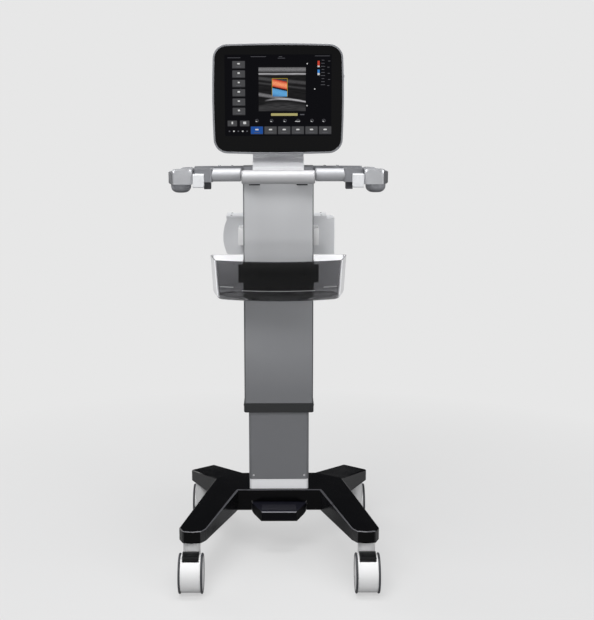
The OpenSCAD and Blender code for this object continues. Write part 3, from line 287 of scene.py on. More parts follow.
def new_object(name, mesh, body, material=None):
    """A finished piece at the origin that moves with a body."""
    obj = bpy.data.objects.new(name, mesh)
    scene.collection.objects.link(obj)
    if material is not None:
        mesh.materials.clear()
        mesh.materials.append(material)
    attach(obj, body)
    return obj


def smooth(mesh, angle=EDGE_ANGLE):
    """Smooth shading, broken at the edges that turn by more than an angle."""
    mesh.shade_smooth()
    mesh.set_sharp_from_angle(angle=math.radians(angle))


HOLDER_ROUND = 7             # mm, the round front edge of a probe holder


def round_front(bm, width):
    """Rounds the long edge where a piece's front wall turns into its top."""
    front = min(v.co.y for v in bm.verts)

    def at_front(edge):
        normals = [f.normal for f in edge.link_faces]
        return (len(normals) == 2 and all(v.co.y < front + 1 * MM for v in edge.verts)
                and max(n.z for n in normals) > 0.85 and min(n.y for n in normals) < -0.7)

    bmesh.ops.bevel(bm, geom=[e for e in bm.edges if at_front(e)], offset=width * MM, segments=5,
                    profile=0.5, affect="EDGES", clamp_overlap=True)


def bevelled(node, material, width, segments=3):
    """A copy of a CAD node with its edges rounded over, shown in the node's place."""
    bm = bmesh.new()
    bm.from_mesh(frame["nodes"][node].data)
    bmesh.ops.remove_doubles(bm, verts=bm.verts, dist=2e-6)
    bmesh.ops.dissolve_limit(bm, angle_limit=math.radians(0.6), verts=bm.verts, edges=bm.edges)
    if node.endswith("probe_holder"):
        round_front(bm, HOLDER_ROUND)
    mesh = mesh_of(bm, node + "_finished")
    smooth(mesh)
    obj = new_object(node + "_finished", mesh, BODY_OF[node], material)
    edge = obj.modifiers.new("edges", "BEVEL")
    edge.width = width * MM
    edge.segments = segments
    edge.limit_method = "ANGLE"
    edge.angle_limit = math.radians(EDGE_ANGLE)
    edge.harden_normals = True
    edge.use_clamp_overlap = True
    obj.modifiers.new("normals", "WEIGHTED_NORMAL").keep_sharp = True
    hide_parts(node)
    return obj


def coat_node(node, material):
    """Gives a CAD node a material."""
    data = frame["nodes"][node].data
    data.materials.clear()
    data.materials.append(material)


CASTERS = ["front_left", "front_right", "rear_left", "rear_right"]
# Each piece's finish and the width of its rounded edges in millimetres
BEVELLED = {
    "base_cover": (gloss_black, 1.6), "column_foot": (pale_paint, 1.2),
    "lower_column": (powder_grey, 0.5), "foot_pedal": (pedal_nylon, 1.2),
    "upper_column": (anodised, 0.5), "column_collar": (dark_collar, 1.0),
    "handle_casting": (cast_paint_and_shade, 1.4), "front_grip": (bright_paint, 0.8),
    "side_grips": (grip_paint, 0.8), "left_probe_holder": (silver_paint, 1.5),
    "right_probe_holder": (silver_paint, 1.5), "cup_liners": (shaded_liner_grey, 0.6),
    "cable_hooks": (acetal, 0.9), "grip_stops": (tyre_rubber, 1.0),
    "casting_clips": (black_nylon, 0.6), "tray_bracket": (black_nylon, 1.0),
    "tray_knob": (black_nylon, 0.5), "rear_box": (box_abs, 1.2), "rear_box_lid": (box_abs, 1.0),
    "rear_clamps": (clamp_white, 1.0), "mains_inlet": (black_nylon, 0.4), "neck": (pale_paint, 1.2),
    "tilt_bracket": (black_steel, 0.8), "cradle": (black_steel, 0.8),
    "rear_housing": (box_abs, 0.8), "front_bezel": (rim_paint, 0.7),
    "touch_glass": (cover_glass, 0.25), "probe_socket": (black_nylon, 0.5),
    "tilt_pin": (plated, 0.8), "pedal_pin": (plated, 0.5), "power_button": (silver_paint, 0.4),
    "front_left_brake": (black_nylon, 0.7), "front_right_brake": (black_nylon, 0.7),
}
# Pieces that stay as they are under a finish: hidden ones, and the pedal's flat pad
COATED = {
    "base_chassis": black_steel, "column_guide": guide_nylon, "gas_spring_cylinder": black_steel,
    "pedal_pad": pad_rubber, "release_pin": plated, "gas_spring_rod": plated,
    "power_supply": supply_case, "display_panel": black_nylon, "main_board": board_green,
    "battery_pack": black_nylon,
}
for place in CASTERS:
    BEVELLED[place + "_hood"] = (white_abs, 1.2)
    BEVELLED[place + "_wheels"] = (white_abs, 0.4)
    COATED[place + "_pins"] = plated
    BEVELLED[place + "_tyres"] = (tyre_rubber, 0.5)
PIECES = {node: bevelled(node, material, width) for node, (material, width) in BEVELLED.items()}
for node, material in COATED.items():
    coat_node(node, material)


def paint_highlight(node, material, highlit):
    """Gives the rounded edges of a piece that a test picks, by middle and normal, a material that
    paints a highlight.
    """
    obj = PIECES[node]
    graph = bpy.context.evaluated_depsgraph_get()
    mesh = bpy.data.meshes.new_from_object(obj.evaluated_get(graph), preserve_all_data_layers=True,
                                           depsgraph=graph)
    obj.modifiers.clear()
    obj.data = mesh
    mesh.name = node + "_worn"
    mesh.materials.append(material)
    for face in mesh.polygons:
        rounded = 0.2 < face.normal.z < 0.95             # neither a wall nor a top
        if rounded and highlit(face.center, face.normal):
            face.material_index = 1


HUB_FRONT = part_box("column_foot")[0][1] + 20 * MM
REAR_LEGS = 0.1              # m, the y past which a wall belongs to a rear leg


def inward(middle, normal):
    """True on the front legs' inner edges, their tips and the front of the hub."""
    if middle.y > HUB_FRONT:
        return False
    return normal.y < -0.75 * math.hypot(normal.x, normal.y) or normal.x * middle.x < 0


def mirrors_floor(middle, normal):
    """True on the upright walls between the front legs and on the rear legs' front walls."""
    upright = abs(normal.z) < 0.2 and abs(normal.x) > 0.3
    return upright and (inward(middle, normal) or (middle.y > REAR_LEGS and normal.y < -0.3))


def faces_in(node, material, picked):
    """Gives the faces of a piece that a test picks, by middle and normal, a further material."""
    mesh = PIECES[node].data
    mesh.materials.append(material)
    for face in mesh.polygons:
        if picked(face.center, face.normal):
            face.material_index = len(mesh.materials) - 1


# The grey line on the base's inner edges, tips and hub front is a painted highlight
paint_highlight("base_cover", edge_highlight, inward)
# The grey line on the pedal's front lip is a painted highlight
paint_highlight("foot_pedal", lip_highlight, lambda middle, normal: normal.y < -0.5)
# The lighter black on these walls is a painted reflection
faces_in("base_cover", sheen_black, mirrors_floor)
# The pedal's lighter top is painted light from above
faces_in("foot_pedal", lit_pedal_top, lambda middle, normal: normal.z > 0.95)
# The column's sides and corners are painted darker: a painted dark reflection
faces_in("upper_column", anodised_side_shade, lambda middle, normal: abs(normal.x) > 0.35)
# The probe holders' outer ends are painted darker, as painted shade
faces_in("left_probe_holder", end_shade_paint, lambda middle, normal: normal.x < -0.85)
faces_in("right_probe_holder", end_shade_paint, lambda middle, normal: normal.x > 0.85)


def pocket_ribs():
    """Ribs behind the cover's front wall that close the view past the pedal's sides."""
    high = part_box("foot_pedal")[1]
    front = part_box("upper_column")[0][1] + 3 * MM
    bm = bmesh.new()
    for side in (-1, 1):
        corner = (side * (high[0] + 0.25 * MM), front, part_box("base_cover")[0][2])
        size = (side * 8 * MM, 2 * MM, high[2] + 6 * MM - corner[2])
        for v in bmesh.ops.create_cube(bm, size=1.0)["verts"]:
            v.co = Vector(c + d * (u + 0.5) for c, d, u in zip(corner, size, v.co))
    bmesh.ops.recalc_face_normals(bm, faces=bm.faces)
    obj = new_object("pocket_ribs", mesh_of(bm, "pocket_ribs"), BODY_OF["base_cover"],
                     gloss_black)


pocket_ribs()


# ---------- tray ----------

def dress_tray():
    """The tray: smoked in front, frosted with a painted glow at its sides and back but not over the
    bracket.
    """
    mesh = bevelled("tray", smoked, 0.8, segments=2).data
    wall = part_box("tray")[1][1] - 6 * MM                 # behind this lies the back wall alone
    edge = COLUMN_SIDE + 0.5 * MM
    ear, ear_low, ear_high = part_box("tray_bracket")[1][0], TRAY_LOW + 26 * MM, TRAY_LOW + 71 * MM
    mesh.materials.append(frosted)
    mesh.materials.append(frosted_side_glow)
    bm = bmesh.new()
    bm.from_mesh(mesh)
    cuts = [((x, 0, 0), (1, 0, 0)) for x in (-ear, -edge, edge, ear)]
    cuts += [((0, 0, z), (0, 0, 1)) for z in (ear_low, ear_high)]
    for point, way in cuts:
        bmesh.ops.bisect_plane(bm, geom=bm.verts[:] + bm.edges[:] + bm.faces[:],
                               plane_co=point, plane_no=way)
    for face in bm.faces:
        c, n = face.calc_center_median(), face.normal
        side = abs(n.x) > 0.8 and abs(c.x) > 100 * MM
        back = abs(n.y) > 0.7 and c.y > wall and abs(c.x) > edge
        behind_ear = abs(c.x) < ear and ear_low < c.z < ear_high
        if side:
            face.material_index = 2
        elif back and not behind_ear:
            face.material_index = 1
    bmesh.ops.triangulate(bm, faces=[f for f in bm.faces if len(f.verts) > 4],
                          ngon_method="EAR_CLIP")
    bm.to_mesh(mesh)
    bm.free()


def cement_beads():
    """Beads of cement where the tray's floor meets its back wall and the bracket's foot; their pale
    colour also paints the highlight along these joints.
    """
    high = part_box("tray")[1]
    sides, r, off = 10, 1.6 * MM, 1.8 * MM               # off: the bead's axis from both walls
    wall, floor_z, free = high[1] - 3 * MM, TRAY_LOW + 3 * MM, 13 * MM
    runs = [(-COLUMN_SIDE + 1 * MM, COLUMN_SIDE - 1 * MM),
            (-high[0] + 14 * MM, -COLUMN_SIDE - free), (COLUMN_SIDE + free, high[0] - 14 * MM)]
    bm = bmesh.new()
    for ends in runs:
        skin(bm, [[bm.verts.new((x, wall - off + r * math.cos(a), floor_z + off + r * math.sin(a)))
                   for a in (i * math.tau / sides for i in range(sides))] for x in ends])
    mesh = mesh_of(bm, "tray_cement")
    smooth(mesh)
    obj = new_object("tray_cement", mesh, BODY_OF["tray"], cement_and_glint)


def wall_line(name, start, end, rise, r=0.9 * MM):
    """A moulded line along the front wall, a rise above the tray's underside."""
    bm = bmesh.new()
    bm.from_mesh(frame["nodes"]["tray"].data)
    tree = BVHTree.FromBMesh(bm)
    bm.free()
    ahead, z, sides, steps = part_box("tray")[0][1] - 0.1, TRAY_LOW + rise * MM, 8, 24
    path = []
    for i in range(steps + 1):
        x = start + (end - start) * i / steps
        path.append(tree.ray_cast(Vector((x, ahead, z)), Vector((0, 1, 0)))[0])
    bm = bmesh.new()
    skin(bm, [[bm.verts.new((p.x, p.y + 0.8 * r * math.cos(a), p.z + r * math.sin(a)))
               for a in (i * math.tau / sides for i in range(sides))] for p in path])
    mesh = mesh_of(bm, name)
    smooth(mesh)
    obj = new_object(name, mesh, BODY_OF["tray"], tray_line_glint)


dress_tray()
cement_beads()
WALL_END, LINE_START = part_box("tray")[1][0] - 26 * MM, COLUMN_SIDE + 20 * MM
wall_line("tray_line_middle", -COLUMN_SIDE, COLUMN_SIDE, 25, 0.5 * MM)
wall_line("tray_line_left", -WALL_END, -LINE_START, 32)
wall_line("tray_line_right", LINE_START, WALL_END, 32)


# ---------- screws and other repeats ----------

def repeat_tree():
    """Sets a copy of a shape on each point, its Z turned along the point's facing."""
    tree = bpy.data.node_groups.new("repeat on points", "GeometryNodeTree")
    for label, kind in (("Points", "NodeSocketGeometry"), ("Shape", "NodeSocketObject"),
                        ("Size", "NodeSocketFloat"), ("Finish", "NodeSocketMaterial")):
        tree.interface.new_socket(label, in_out="INPUT", socket_type=kind)
    tree.interface.new_socket("Pieces", in_out="OUTPUT", socket_type="NodeSocketGeometry")
    given = add(tree, "NodeGroupInput").outputs
    shape = add(tree, "GeometryNodeObjectInfo", {"Object": given["Shape"]})
    facing = add(tree, "GeometryNodeInputNamedAttribute", {"Name": "facing"},
                 data_type="FLOAT_VECTOR").outputs["Attribute"]
    turn = add(tree, "FunctionNodeAlignRotationToVector", {"Vector": facing}, axis="Z")
    placed = add(tree, "GeometryNodeInstanceOnPoints",
                 {"Points": given["Points"], "Instance": shape.outputs["Geometry"],
                  "Rotation": turn.outputs["Rotation"], "Scale": given["Size"]})
    real = add(tree, "GeometryNodeRealizeInstances", {"Geometry": placed.outputs["Instances"]})
    coated = add(tree, "GeometryNodeSetMaterial", {"Geometry": real.outputs["Geometry"],
                                                   "Material": given["Finish"]})
    add(tree, "NodeGroupOutput", {"Pieces": coated.outputs["Geometry"]})
    return tree


REPEAT = repeat_tree()


def repeated(name, node, shape, places, size, material):
    """One mesh of a shape set at each (point, facing) on a CAD node; size scales the shape."""
    points = bpy.data.meshes.new(name + "_points")
    points.from_pydata([p for p, _ in places], [], [])
    facing = points.attributes.new("facing", "FLOAT_VECTOR", "POINT")
    for i, (_, way) in enumerate(places):
        facing.data[i].vector = way
    model = bpy.data.objects.new(name + "_shape", shape)
    carrier = bpy.data.objects.new(name + "_points", points)
    for obj in (model, carrier):
        scene.collection.objects.link(obj)
    nodes = carrier.modifiers.new("repeat", "NODES")
    nodes.node_group = REPEAT
    values = {"Shape": model, "Size": size, "Finish": material}
    for item in REPEAT.interface.items_tree:
        if item.in_out == "INPUT" and item.name in values:
            nodes[item.identifier] = values[item.name]
    graph = bpy.context.evaluated_depsgraph_get()
    mesh = bpy.data.meshes.new_from_object(carrier.evaluated_get(graph), depsgraph=graph)
    mesh.name = name
    for obj in (model, carrier):
        bpy.data.objects.remove(obj)
    smooth(mesh, 40)
    obj = new_object(name, mesh, BODY_OF[node])


def lathe(name, profile, sides=24, socket=None):
    """A turned shape about Z; socket is the radius and depth of a hexagonal recess."""
    bm = bmesh.new()
    rings = [[bm.verts.new((r * math.cos(a), r * math.sin(a), z))
              for a in (i * math.tau / sides for i in range(sides))] for r, z in profile]
    if socket:
        across, depth = socket
        top = profile[-1][1]
        for z in (top, top - depth):
            ring = []
            for i in range(sides):
                a = i * math.tau / sides
                r = across * math.cos(math.pi / 6) / math.cos((a % (math.pi / 3)) - math.pi / 6)
                ring.append(bm.verts.new((r * math.cos(a), r * math.sin(a), z)))
            rings.append(ring)
    skin(bm, rings)
    return mesh_of(bm, name)


# Button-head screw of radius 1, its seat at z 0
BUTTON = lathe("button_head", [(0.7, -0.05), (1.0, -0.05), (1.0, 0.12), (0.92, 0.34),
                               (0.72, 0.5), (0.55, 0.55)], socket=(0.46, 0.34))
# Domed cap over an axle end, of radius 1
CAP = lathe("axle_cap", [(0.9, -0.02), (1.0, 0.0), (0.98, 0.06), (0.8, 0.13), (0.45, 0.17),
                         (0.1, 0.18)])


def fit_screws():
    """The screws: each row gives the places with their facing, the head's radius and a finish."""
    front, back, up = (0, -1, 0), (0, 1, 0), (0, 0, 1)

    low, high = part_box("lower_column")
    z, x = low[2] + 10 * MM, high[0] - 11 * MM
    sunk = 1.3 * MM                                      # flush, so that the collar slides by
    repeated("column_foot_screws", "lower_column", BUTTON,
             [((s * x, y, z), way) for s in (-1, 1)
              for y, way in ((low[1] + sunk, front), (high[1] - sunk, back))], 2.8 * MM, pale_paint)

    top, beside_neck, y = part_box("handle_casting")[1][2], (110 * MM, 140 * MM), 62 * MM
    repeated("handle_screws", "handle_casting", BUTTON,
             [((s * x, y, top), up) for s in (-1, 1) for x in beside_neck], 3.6 * MM, plated)

    low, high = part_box("rear_box_lid")
    inset, bulge = 12 * MM, 32 * MM                      # bulge: the lid's round end
    repeated("lid_screws", "rear_box_lid", BUTTON,
             [((x, y, high[2]), up) for x in (low[0] + inset, high[0] - bulge)
              for y in (low[1] + inset, high[1] - inset)], 2.6 * MM, plated)

    low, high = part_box("rear_housing")
    mid, x, rows = (low[2] + high[2]) / 2, 112 * MM, (-96 * MM, 0.0, 70 * MM)
    repeated("housing_screws", "rear_housing", BUTTON,
             [((s * x, high[1], mid + dz), back) for s in (-1, 1) for dz in rows],
             2.6 * MM, blackened)

    low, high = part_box("cradle")
    x, inset = high[0] - 11 * MM, 10 * MM
    repeated("cradle_screws", "cradle", BUTTON,
             [((s * x, high[1], z), back) for s in (-1, 1)
              for z in (low[2] + inset, high[2] - inset)], 3.4 * MM, plated)

    low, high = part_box("column_collar")
    z, mid, apart = low[2] + 13 * MM, (low[1] + high[1]) / 2, 26 * MM
    repeated("collar_screws", "column_collar", BUTTON,
             [((s * high[0], mid + dy, z), (s, 0, 0)) for s in (-1, 1) for dy in (-apart, apart)],
             2.4 * MM, blackened)

    low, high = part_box("mains_inlet")
    mid, z, apart = (low[0] + high[0]) / 2, (low[2] + high[2]) / 2, 16 * MM
    repeated("inlet_screws", "mains_inlet", BUTTON,
             [((mid + s * apart, high[1], z), back) for s in (-1, 1)], 1.6 * MM, plated)

    inside, x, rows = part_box("tray")[1][1] - 3 * MM, 62 * MM, (18 * MM, 45 * MM)
    repeated("tray_screws", "tray_bracket", BUTTON,
             [((s * x, inside, TRAY_LOW + dz), front) for s in (-1, 1) for dz in rows],
             3.2 * MM, blackened)


def cap_wheels():
    """A cap over the axle's end on the outside of each wheel, pressed in a little."""
    pressed = 0.3 * MM
    for place in CASTERS:
        low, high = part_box(place + "_wheels")
        y, z = (low[1] + high[1]) / 2, (low[2] + high[2]) / 2
        repeated(place + "_axle_caps", place + "_wheels", CAP,
                 [((low[0] + pressed, y, z), (-1, 0, 0)), ((high[0] - pressed, y, z), (1, 0, 0))],
                 8.5 * MM, white_abs)


fit_screws()
cap_wheels()


# ---------- screen ----------

SCREEN_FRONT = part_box("touch_glass")[0][1]
SCREEN_MID = (0.0, (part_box("display_panel")[0][2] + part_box("display_panel")[1][2]) / 2)
LAYER = 0.08 * MM            # from one printed layer of the display to the next


def glow(name, colour=None, attribute=None):
    """A lit patch of the display under the cover glass, in a colour or in a layer's colours."""
    m = bpy.data.materials.new(name)
    tree = cleared(m)
    if attribute:
        lit = add(tree, "ShaderNodeAttribute", attribute_name=attribute).outputs["Color"]
    else:
        place = add(tree, "ShaderNodeTexCoord").outputs["Object"]
        dots = add(tree, "ShaderNodeTexNoise", {"Vector": place, "Scale": 900.0, "Detail": 1.0})
        lit = mixed(tree, dots.outputs["Fac"], *spread(linear(colour), 0.15))
    shader = add(tree, "ShaderNodeBsdfPrincipled",
                 {"Base Color": linear("#030304"), "Roughness": 0.06, "Specular IOR Level": 0.04,
                  "Emission Strength": 1.0, "Emission Color": lit})
    add(tree, "ShaderNodeOutputMaterial", {"Surface": shader.outputs["BSDF"]})
    return m


PALETTE = {
    "key": glow("screen key grey", "#464648"), "key_edge": glow("screen key edge", "#2A2A2C"),
    "mark": glow("screen mark white", "#C8C8C8"), "faint": glow("screen mark grey", "#55555A"),
    "blue": glow("screen key blue", "#1D4C96"), "yellow": glow("screen bar yellow", "#A9A06A"),
    "line": glow("screen scan outline", "#A08A30"), "ground": glow("screen ground", "#050508"),
    "red": glow("screen scale red", "#C04030"), "cyan": glow("screen scale blue", "#3A80C8"),
}


def on_screen(x, y, z):
    """Layout millimetres to the frame: the picture is drawn in a little from the glass's edge."""
    return SCREEN_MID[0] + (0.98 * x + 1.86) * MM, y, SCREEN_MID[1] + (0.96 * z + 0.5) * MM


class Display:
    """Flat patches laid on the screen in millimetres from its middle, x to the right, z up."""

    def __init__(self):
        self.bm = bmesh.new()
        self.names = list(PALETTE)

    def patch(self, kind, x, z, w, h, radius=0.0, layer=1):
        """A rectangle with round corners, middle at x, z."""
        y, points = SCREEN_FRONT - layer * LAYER, []
        for qx, qz, start in ((1, 1, 0), (-1, 1, 90), (-1, -1, 180), (1, -1, 270)):
            for i in range(5 if radius else 1):
                a = math.radians(start + i * 22.5)
                points.append((x + qx * (w / 2 - radius) + radius * math.cos(a),
                               z + qz * (h / 2 - radius) + radius * math.sin(a)))
        face = self.bm.faces.new([self.bm.verts.new(on_screen(px, y, pz)) for px, pz in points])
        face.material_index = self.names.index(kind)

    def build(self, name, body):
        """One mesh of all the patches, facing the user."""
        for face in self.bm.faces:
            face.normal_update()
            if face.normal.y > 0:
                face.normal_flip()
        mesh = mesh_of(self.bm, name)
        obj = new_object(name, mesh, body)
        for kind in self.names:
            mesh.materials.append(PALETTE[kind])


def build_display():
    """The keys, marks and scales round the scan, in layout millimetres."""
    d = Display()
    d.patch("ground", -1.9, -0.5, 251, 192.2, layer=1)
    # six keys down the left side
    for i in range(6):
        z = 71.7 - 22 * i
        d.patch("key_edge", -94.3, z, 30.5, 18.4, 1.5, layer=2)
        d.patch("key", -94.3, z + 0.5, 29, 16, 1.2, layer=3)
        d.patch("mark", -94.3, z + 2.5, 6 - 0.6 * (i % 3), 3.4 + 0.5 * (i % 2), 1.0, layer=4)
        d.patch("faint", -94.3, z - 4.8, 12, 1.4, layer=4)
    # two short keys and a row of small marks below them
    for x, w in ((-110.2, 3.5), (-81, 7)):
        d.patch("key_edge", x, -66.9, 23, 14.6, 1.5, layer=2)
        d.patch("key", x, -66.6, 21.6, 12.6, 1.2, layer=3)
        d.patch("mark", x, -65.5, w, 6, 1.0, layer=4)
    for i in range(5):
        d.patch("mark" if i % 2 else "faint", -117 + 10.4 * i, -85.4, 3.6, 3.0, 0.8, layer=2)
    # bottom row of keys, the first one lit blue
    for i in range(6):
        x = -52.2 + 32.3 * i
        d.patch("key_edge", x, -83.5, 30, 19.6, 1.5, layer=2)
        d.patch("key" if i else "blue", x, -83.1, 28.4, 17.6, 1.2, layer=3)
        d.patch("mark", x, -81.5, 8, 3.4, 1.4, layer=4)
        d.patch("faint", x, -88.5, 13, 1.5, layer=4)
    # small icons above the bottom row
    for i, x in enumerate((-52, -17.4, 14, 45, 78, 106)):
        d.patch("faint", x, -60.5, 8, 8, 3.9, layer=2)
        d.patch("ground", x, -60.5, 6, 6, 2.9, layer=3)
        d.patch("mark", x - 1, -62, 3.5 + (i == 3) * 8, 1.6, layer=4)
    # heading marks, scale at the right and small points round the scan
    for x, z, w in ((-48, 90.5, 36), (4, 90.5, 8), (6, 87, 17), (102, 92, 35), (-105, 88, 30)):
        d.patch("faint", x, z, w, 1.0, layer=2)
    d.patch("red", 93.2, 75, 5, 11, layer=2)
    d.patch("mark", 93.2, 67.6, 5, 3.6, layer=2)
    d.patch("cyan", 93.2, 56, 5, 8, layer=2)
    d.patch("mark", 93.2, 49.5, 5, 5, layer=2)
    for i in range(9):
        d.patch("faint", 103.5, 82 - 7.2 * i, 6 + 2 * (i % 3), 1.2, layer=2)
        if i % 2 == 0:
            d.patch("faint", 118 - i % 3, 80 - 7.2 * i, 5, 1.2, layer=2)
    for x, z in ((66.6, 74), (84.3, 14.4), (66.2, -25)):
        d.patch("mark", x, z, 3, 3, 1.4, layer=2)
    d.patch("yellow", 12.7, -45.8, 62.7, 6, 0.8, layer=2)
    d.patch("faint", 55, -46, 10, 2.5, layer=2)
    # outline round the flow window
    for x, z, w, h in ((2, 39.3, 36, 1.2), (-15.9, 18, 1.2, 42), (19.9, 18, 1.2, 42)):
        d.patch("line", x, z, w, h, layer=3)
    d.build("screen_picture", "head")


def scan_tone(x, z):
    """Brightness and colour of the scan at a place in millimetres."""
    speckle = noise.noise(Vector((x * 0.35, z * 1.1, 3.1))) * 0.5 + 0.5
    streak = noise.noise(Vector((x * 0.06, z * 0.55, 8.2))) * 0.5 + 0.5
    grain = noise.noise(Vector((x * 1.3, z * 2.0, 1.7))) * 0.5 + 0.5

    def band(level, middle, half):
        return level * max(0.0, 1 - ((z - middle) / half) ** 2)

    bow = 0.00045 * (x - 8) ** 2
    grey = 0.002 + 0.014 * streak
    grey += band(0.19, 60.5, 6.5) * (0.4 + speckle)
    grey += band(0.36, 50.0, 2.6) * (0.5 + streak)
    grey += band(0.06, 39.0 - 0.10 * (x + 40), 5.0) * (0.3 + grain)
    grey += band(0.04, 28.0 - 0.12 * (x + 40), 3.0) * (0.3 + grain)
    grey += band(0.20, 1.5 - 0.16 * (x + 45), 5.5 - 0.03 * (x + 45)) * (0.3 + speckle)
    grey += band(0.34, -9.0 - 5 * bow, 2.4) * (0.3 + streak) * min(1.0, max(0.0, (x + 34) / 16))
    grey += band(0.03, -27.0 - bow * 6, 13.0) * (0.4 + streak)
    colour = [grey * 1.0, grey * 0.98, grey * 1.02]
    if -15.6 < x < 19.7 and -3 < z < 38.8:
        tilt = z + 0.22 * x
        if 17.5 < tilt < 34 + 3 * speckle:
            heat = max(0.0, 1 - ((tilt - 26) / 10) ** 2) * (0.6 + 0.6 * speckle)
            colour = [0.30 + 0.62 * heat, 0.02 + 0.34 * heat ** 2, 0.01 + 0.16 * heat ** 2]
        elif -8.0 < tilt < 13.5:
            cold = max(0.0, 1 - ((tilt - 6) / 13) ** 2) * (0.6 + 0.6 * speckle)
            colour = [0.02 + 0.10 * cold, 0.08 + 0.30 * cold, 0.26 + 0.42 * cold]
    return colour


def build_scan():
    """The scan image, as a fine grid that carries its own colours."""
    left, right, low, high, step = -47.6, 63.8, -37.8, 66.6, 0.9
    columns = int((right - left) / step)
    rows = int((high - low) / step)
    verts, faces, tones = [], [], []
    y = SCREEN_FRONT - 2 * LAYER
    for j in range(rows + 1):
        for i in range(columns + 1):
            x, z = left + i * step, low + j * step
            verts.append(on_screen(x, y, z))
            tones.append(scan_tone(x, z))
    for j in range(rows):
        for i in range(columns):
            a = j * (columns + 1) + i
            faces.append((a, a + 1, a + columns + 2, a + columns + 1))
    mesh = bpy.data.meshes.new("screen_scan")
    mesh.from_pydata(verts, [], faces)
    layer = mesh.color_attributes.new("scan", "FLOAT_COLOR", "POINT")
    for i, tone in enumerate(tones):
        layer.data[i].color = (*tone, 1.0)
    obj = new_object("screen_scan", mesh, "head", glow("screen scan image", attribute="scan"))


build_display()
build_scan()


# ---------- floor, camera and lights ----------

BACKGROUND = "#E7E7E7"


def any_ray(tree, path, first, *others):
    """1 for a ray of one of the kinds that Light Path names."""
    found = path.outputs[first]
    for kind in others:
        found = add(tree, "ShaderNodeMath", {0: found, 1: path.outputs[kind]},
                    operation="MAXIMUM").outputs[0]
    return found


def backdrop_world():
    """The pale backdrop that is seen, mirrored and seen through, and a faint light from it."""
    scene.world = bpy.data.worlds.new("studio")
    tree = cleared(scene.world)
    path = add(tree, "ShaderNodeLightPath")
    seen = any_ray(tree, path, "Is Camera Ray", "Is Glossy Ray", "Is Transmission Ray")
    pale = add(tree, "ShaderNodeBackground", {"Color": linear(BACKGROUND), "Strength": 1.0})
    # the studio's dark ceiling, which gloss shows above the pale backdrop
    place = add(tree, "ShaderNodeTexCoord").outputs["Generated"]
    height = add(tree, "ShaderNodeSeparateXYZ", {"Vector": place}).outputs["Z"]
    above = add(tree, "ShaderNodeMapRange", {"Value": height, "From Min": 0.02, "From Max": 0.2})
    ceiling = add(tree, "ShaderNodeMath", {0: above.outputs["Result"],
                                           1: path.outputs["Is Glossy Ray"]},
                  operation="MULTIPLY")
    dark = add(tree, "ShaderNodeBackground", {"Color": linear("#3C3D40"), "Strength": 1.0})
    shown = add(tree, "ShaderNodeMixShader", {0: ceiling.outputs[0], 1: pale.outputs[0],
                                              2: dark.outputs[0]})
    light = add(tree, "ShaderNodeBackground", {"Color": linear("#F2F4F8"), "Strength": 0.28})
    mix = add(tree, "ShaderNodeMixShader", {0: seen, 1: light.outputs[0], 2: shown.outputs[0]})
    add(tree, "ShaderNodeOutputWorld", {"Surface": mix.outputs[0]})


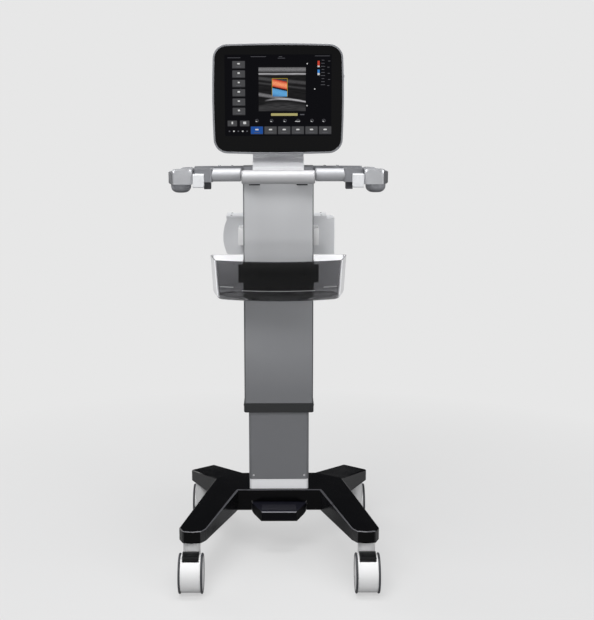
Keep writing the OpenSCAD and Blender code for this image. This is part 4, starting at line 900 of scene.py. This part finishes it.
def floor():
    """A pale floor that keeps the object's shadow and fades into the backdrop."""
    mesh = bpy.data.meshes.new("floor")
    size = 14
    mesh.from_pydata([(-size, -size, 0), (size, -size, 0), (size, size, 0), (-size, size, 0)], [],
                     [(0, 1, 2, 3)])
    obj = bpy.data.objects.new("floor", mesh)
    scene.collection.objects.link(obj)
    m = bpy.data.materials.new("pale studio floor")
    tree = cleared(m)
    place = add(tree, "ShaderNodeTexCoord").outputs["Object"]
    far = add(tree, "ShaderNodeVectorMath", {0: place}, operation="LENGTH").outputs["Value"]
    fade = add(tree, "ShaderNodeMapRange", {"Value": far, "From Min": 0.5, "From Max": 1.6,
                                            "To Min": 0.65, "To Max": 1.0})
    even = add(tree, "ShaderNodeEmission", {"Color": linear(BACKGROUND), "Strength": 1.0})
    lit = add(tree, "ShaderNodeBsdfDiffuse", {"Color": linear("#D2D2D2")})
    # what the floor throws back onto the object
    bounced = add(tree, "ShaderNodeBsdfDiffuse", {"Color": linear("#A0A0A0")})
    mix = add(tree, "ShaderNodeMixShader", {0: fade.outputs["Result"], 1: lit.outputs[0],
                                            2: even.outputs[0]})
    seen = any_ray(tree, add(tree, "ShaderNodeLightPath"), "Is Camera Ray", "Is Transmission Ray")
    pick = add(tree, "ShaderNodeMixShader", {0: seen, 1: bounced.outputs[0], 2: mix.outputs[0]})
    add(tree, "ShaderNodeOutputMaterial", {"Surface": pick.outputs[0]})
    mesh.materials.append(m)


def area_light(name, place, target, width, height, power, mirrored=True):
    """A softbox; mirrored is off where its reflection would sit on the smoked tray."""
    data = bpy.data.lights.new(name, "AREA")
    data.shape = "RECTANGLE"
    data.size, data.size_y = width, height
    data.energy = power
    obj = bpy.data.objects.new(name, data)
    scene.collection.objects.link(obj)
    obj.location = place
    obj.visible_glossy = obj.visible_transmission = mirrored
    aim = Vector(target) - Vector(place)
    obj.rotation_mode = "QUATERNION"
    obj.rotation_quaternion = aim.to_track_quat("-Z", "Y")


def camera(place, down, roll):
    """A long lens in front of the machine; down and roll are in degrees and radians."""
    data = bpy.data.cameras.new("camera")
    data.sensor_width = 36
    data.lens = 66.19
    data.shift_x = 0.0305                                # the machine stands left of the middle
    obj = bpy.data.objects.new("camera", data)
    scene.collection.objects.link(obj)
    obj.location = place
    obj.rotation_euler = (math.radians(90 - down), roll, 0)
    scene.camera = obj


backdrop_world()
floor()
camera((0, -2.662, 1.100), 10.5, 0.0024)
area_light("key", (-0.9, -2.0, 2.5), (0, 0, 0.9), 1.4, 1.0, 38)
area_light("fill", (1.8, -1.8, 1.5), (0, 0, 0.8), 0.9, 1.4, 14)
area_light("low front", (0, -1.6, 0.35), (0, 0.05, 1.0), 0.9, 0.25, 4.5, mirrored=False)
area_light("top", (0, -0.3, 2.5), (0, 0.05, 0.6), 1.6, 0.9, 32)
area_light("back", (-1.6, 1.6, 1.6), (0, 0.1, 0.6), 0.8, 1.4, 14)
scene.view_settings.view_transform = "Standard"
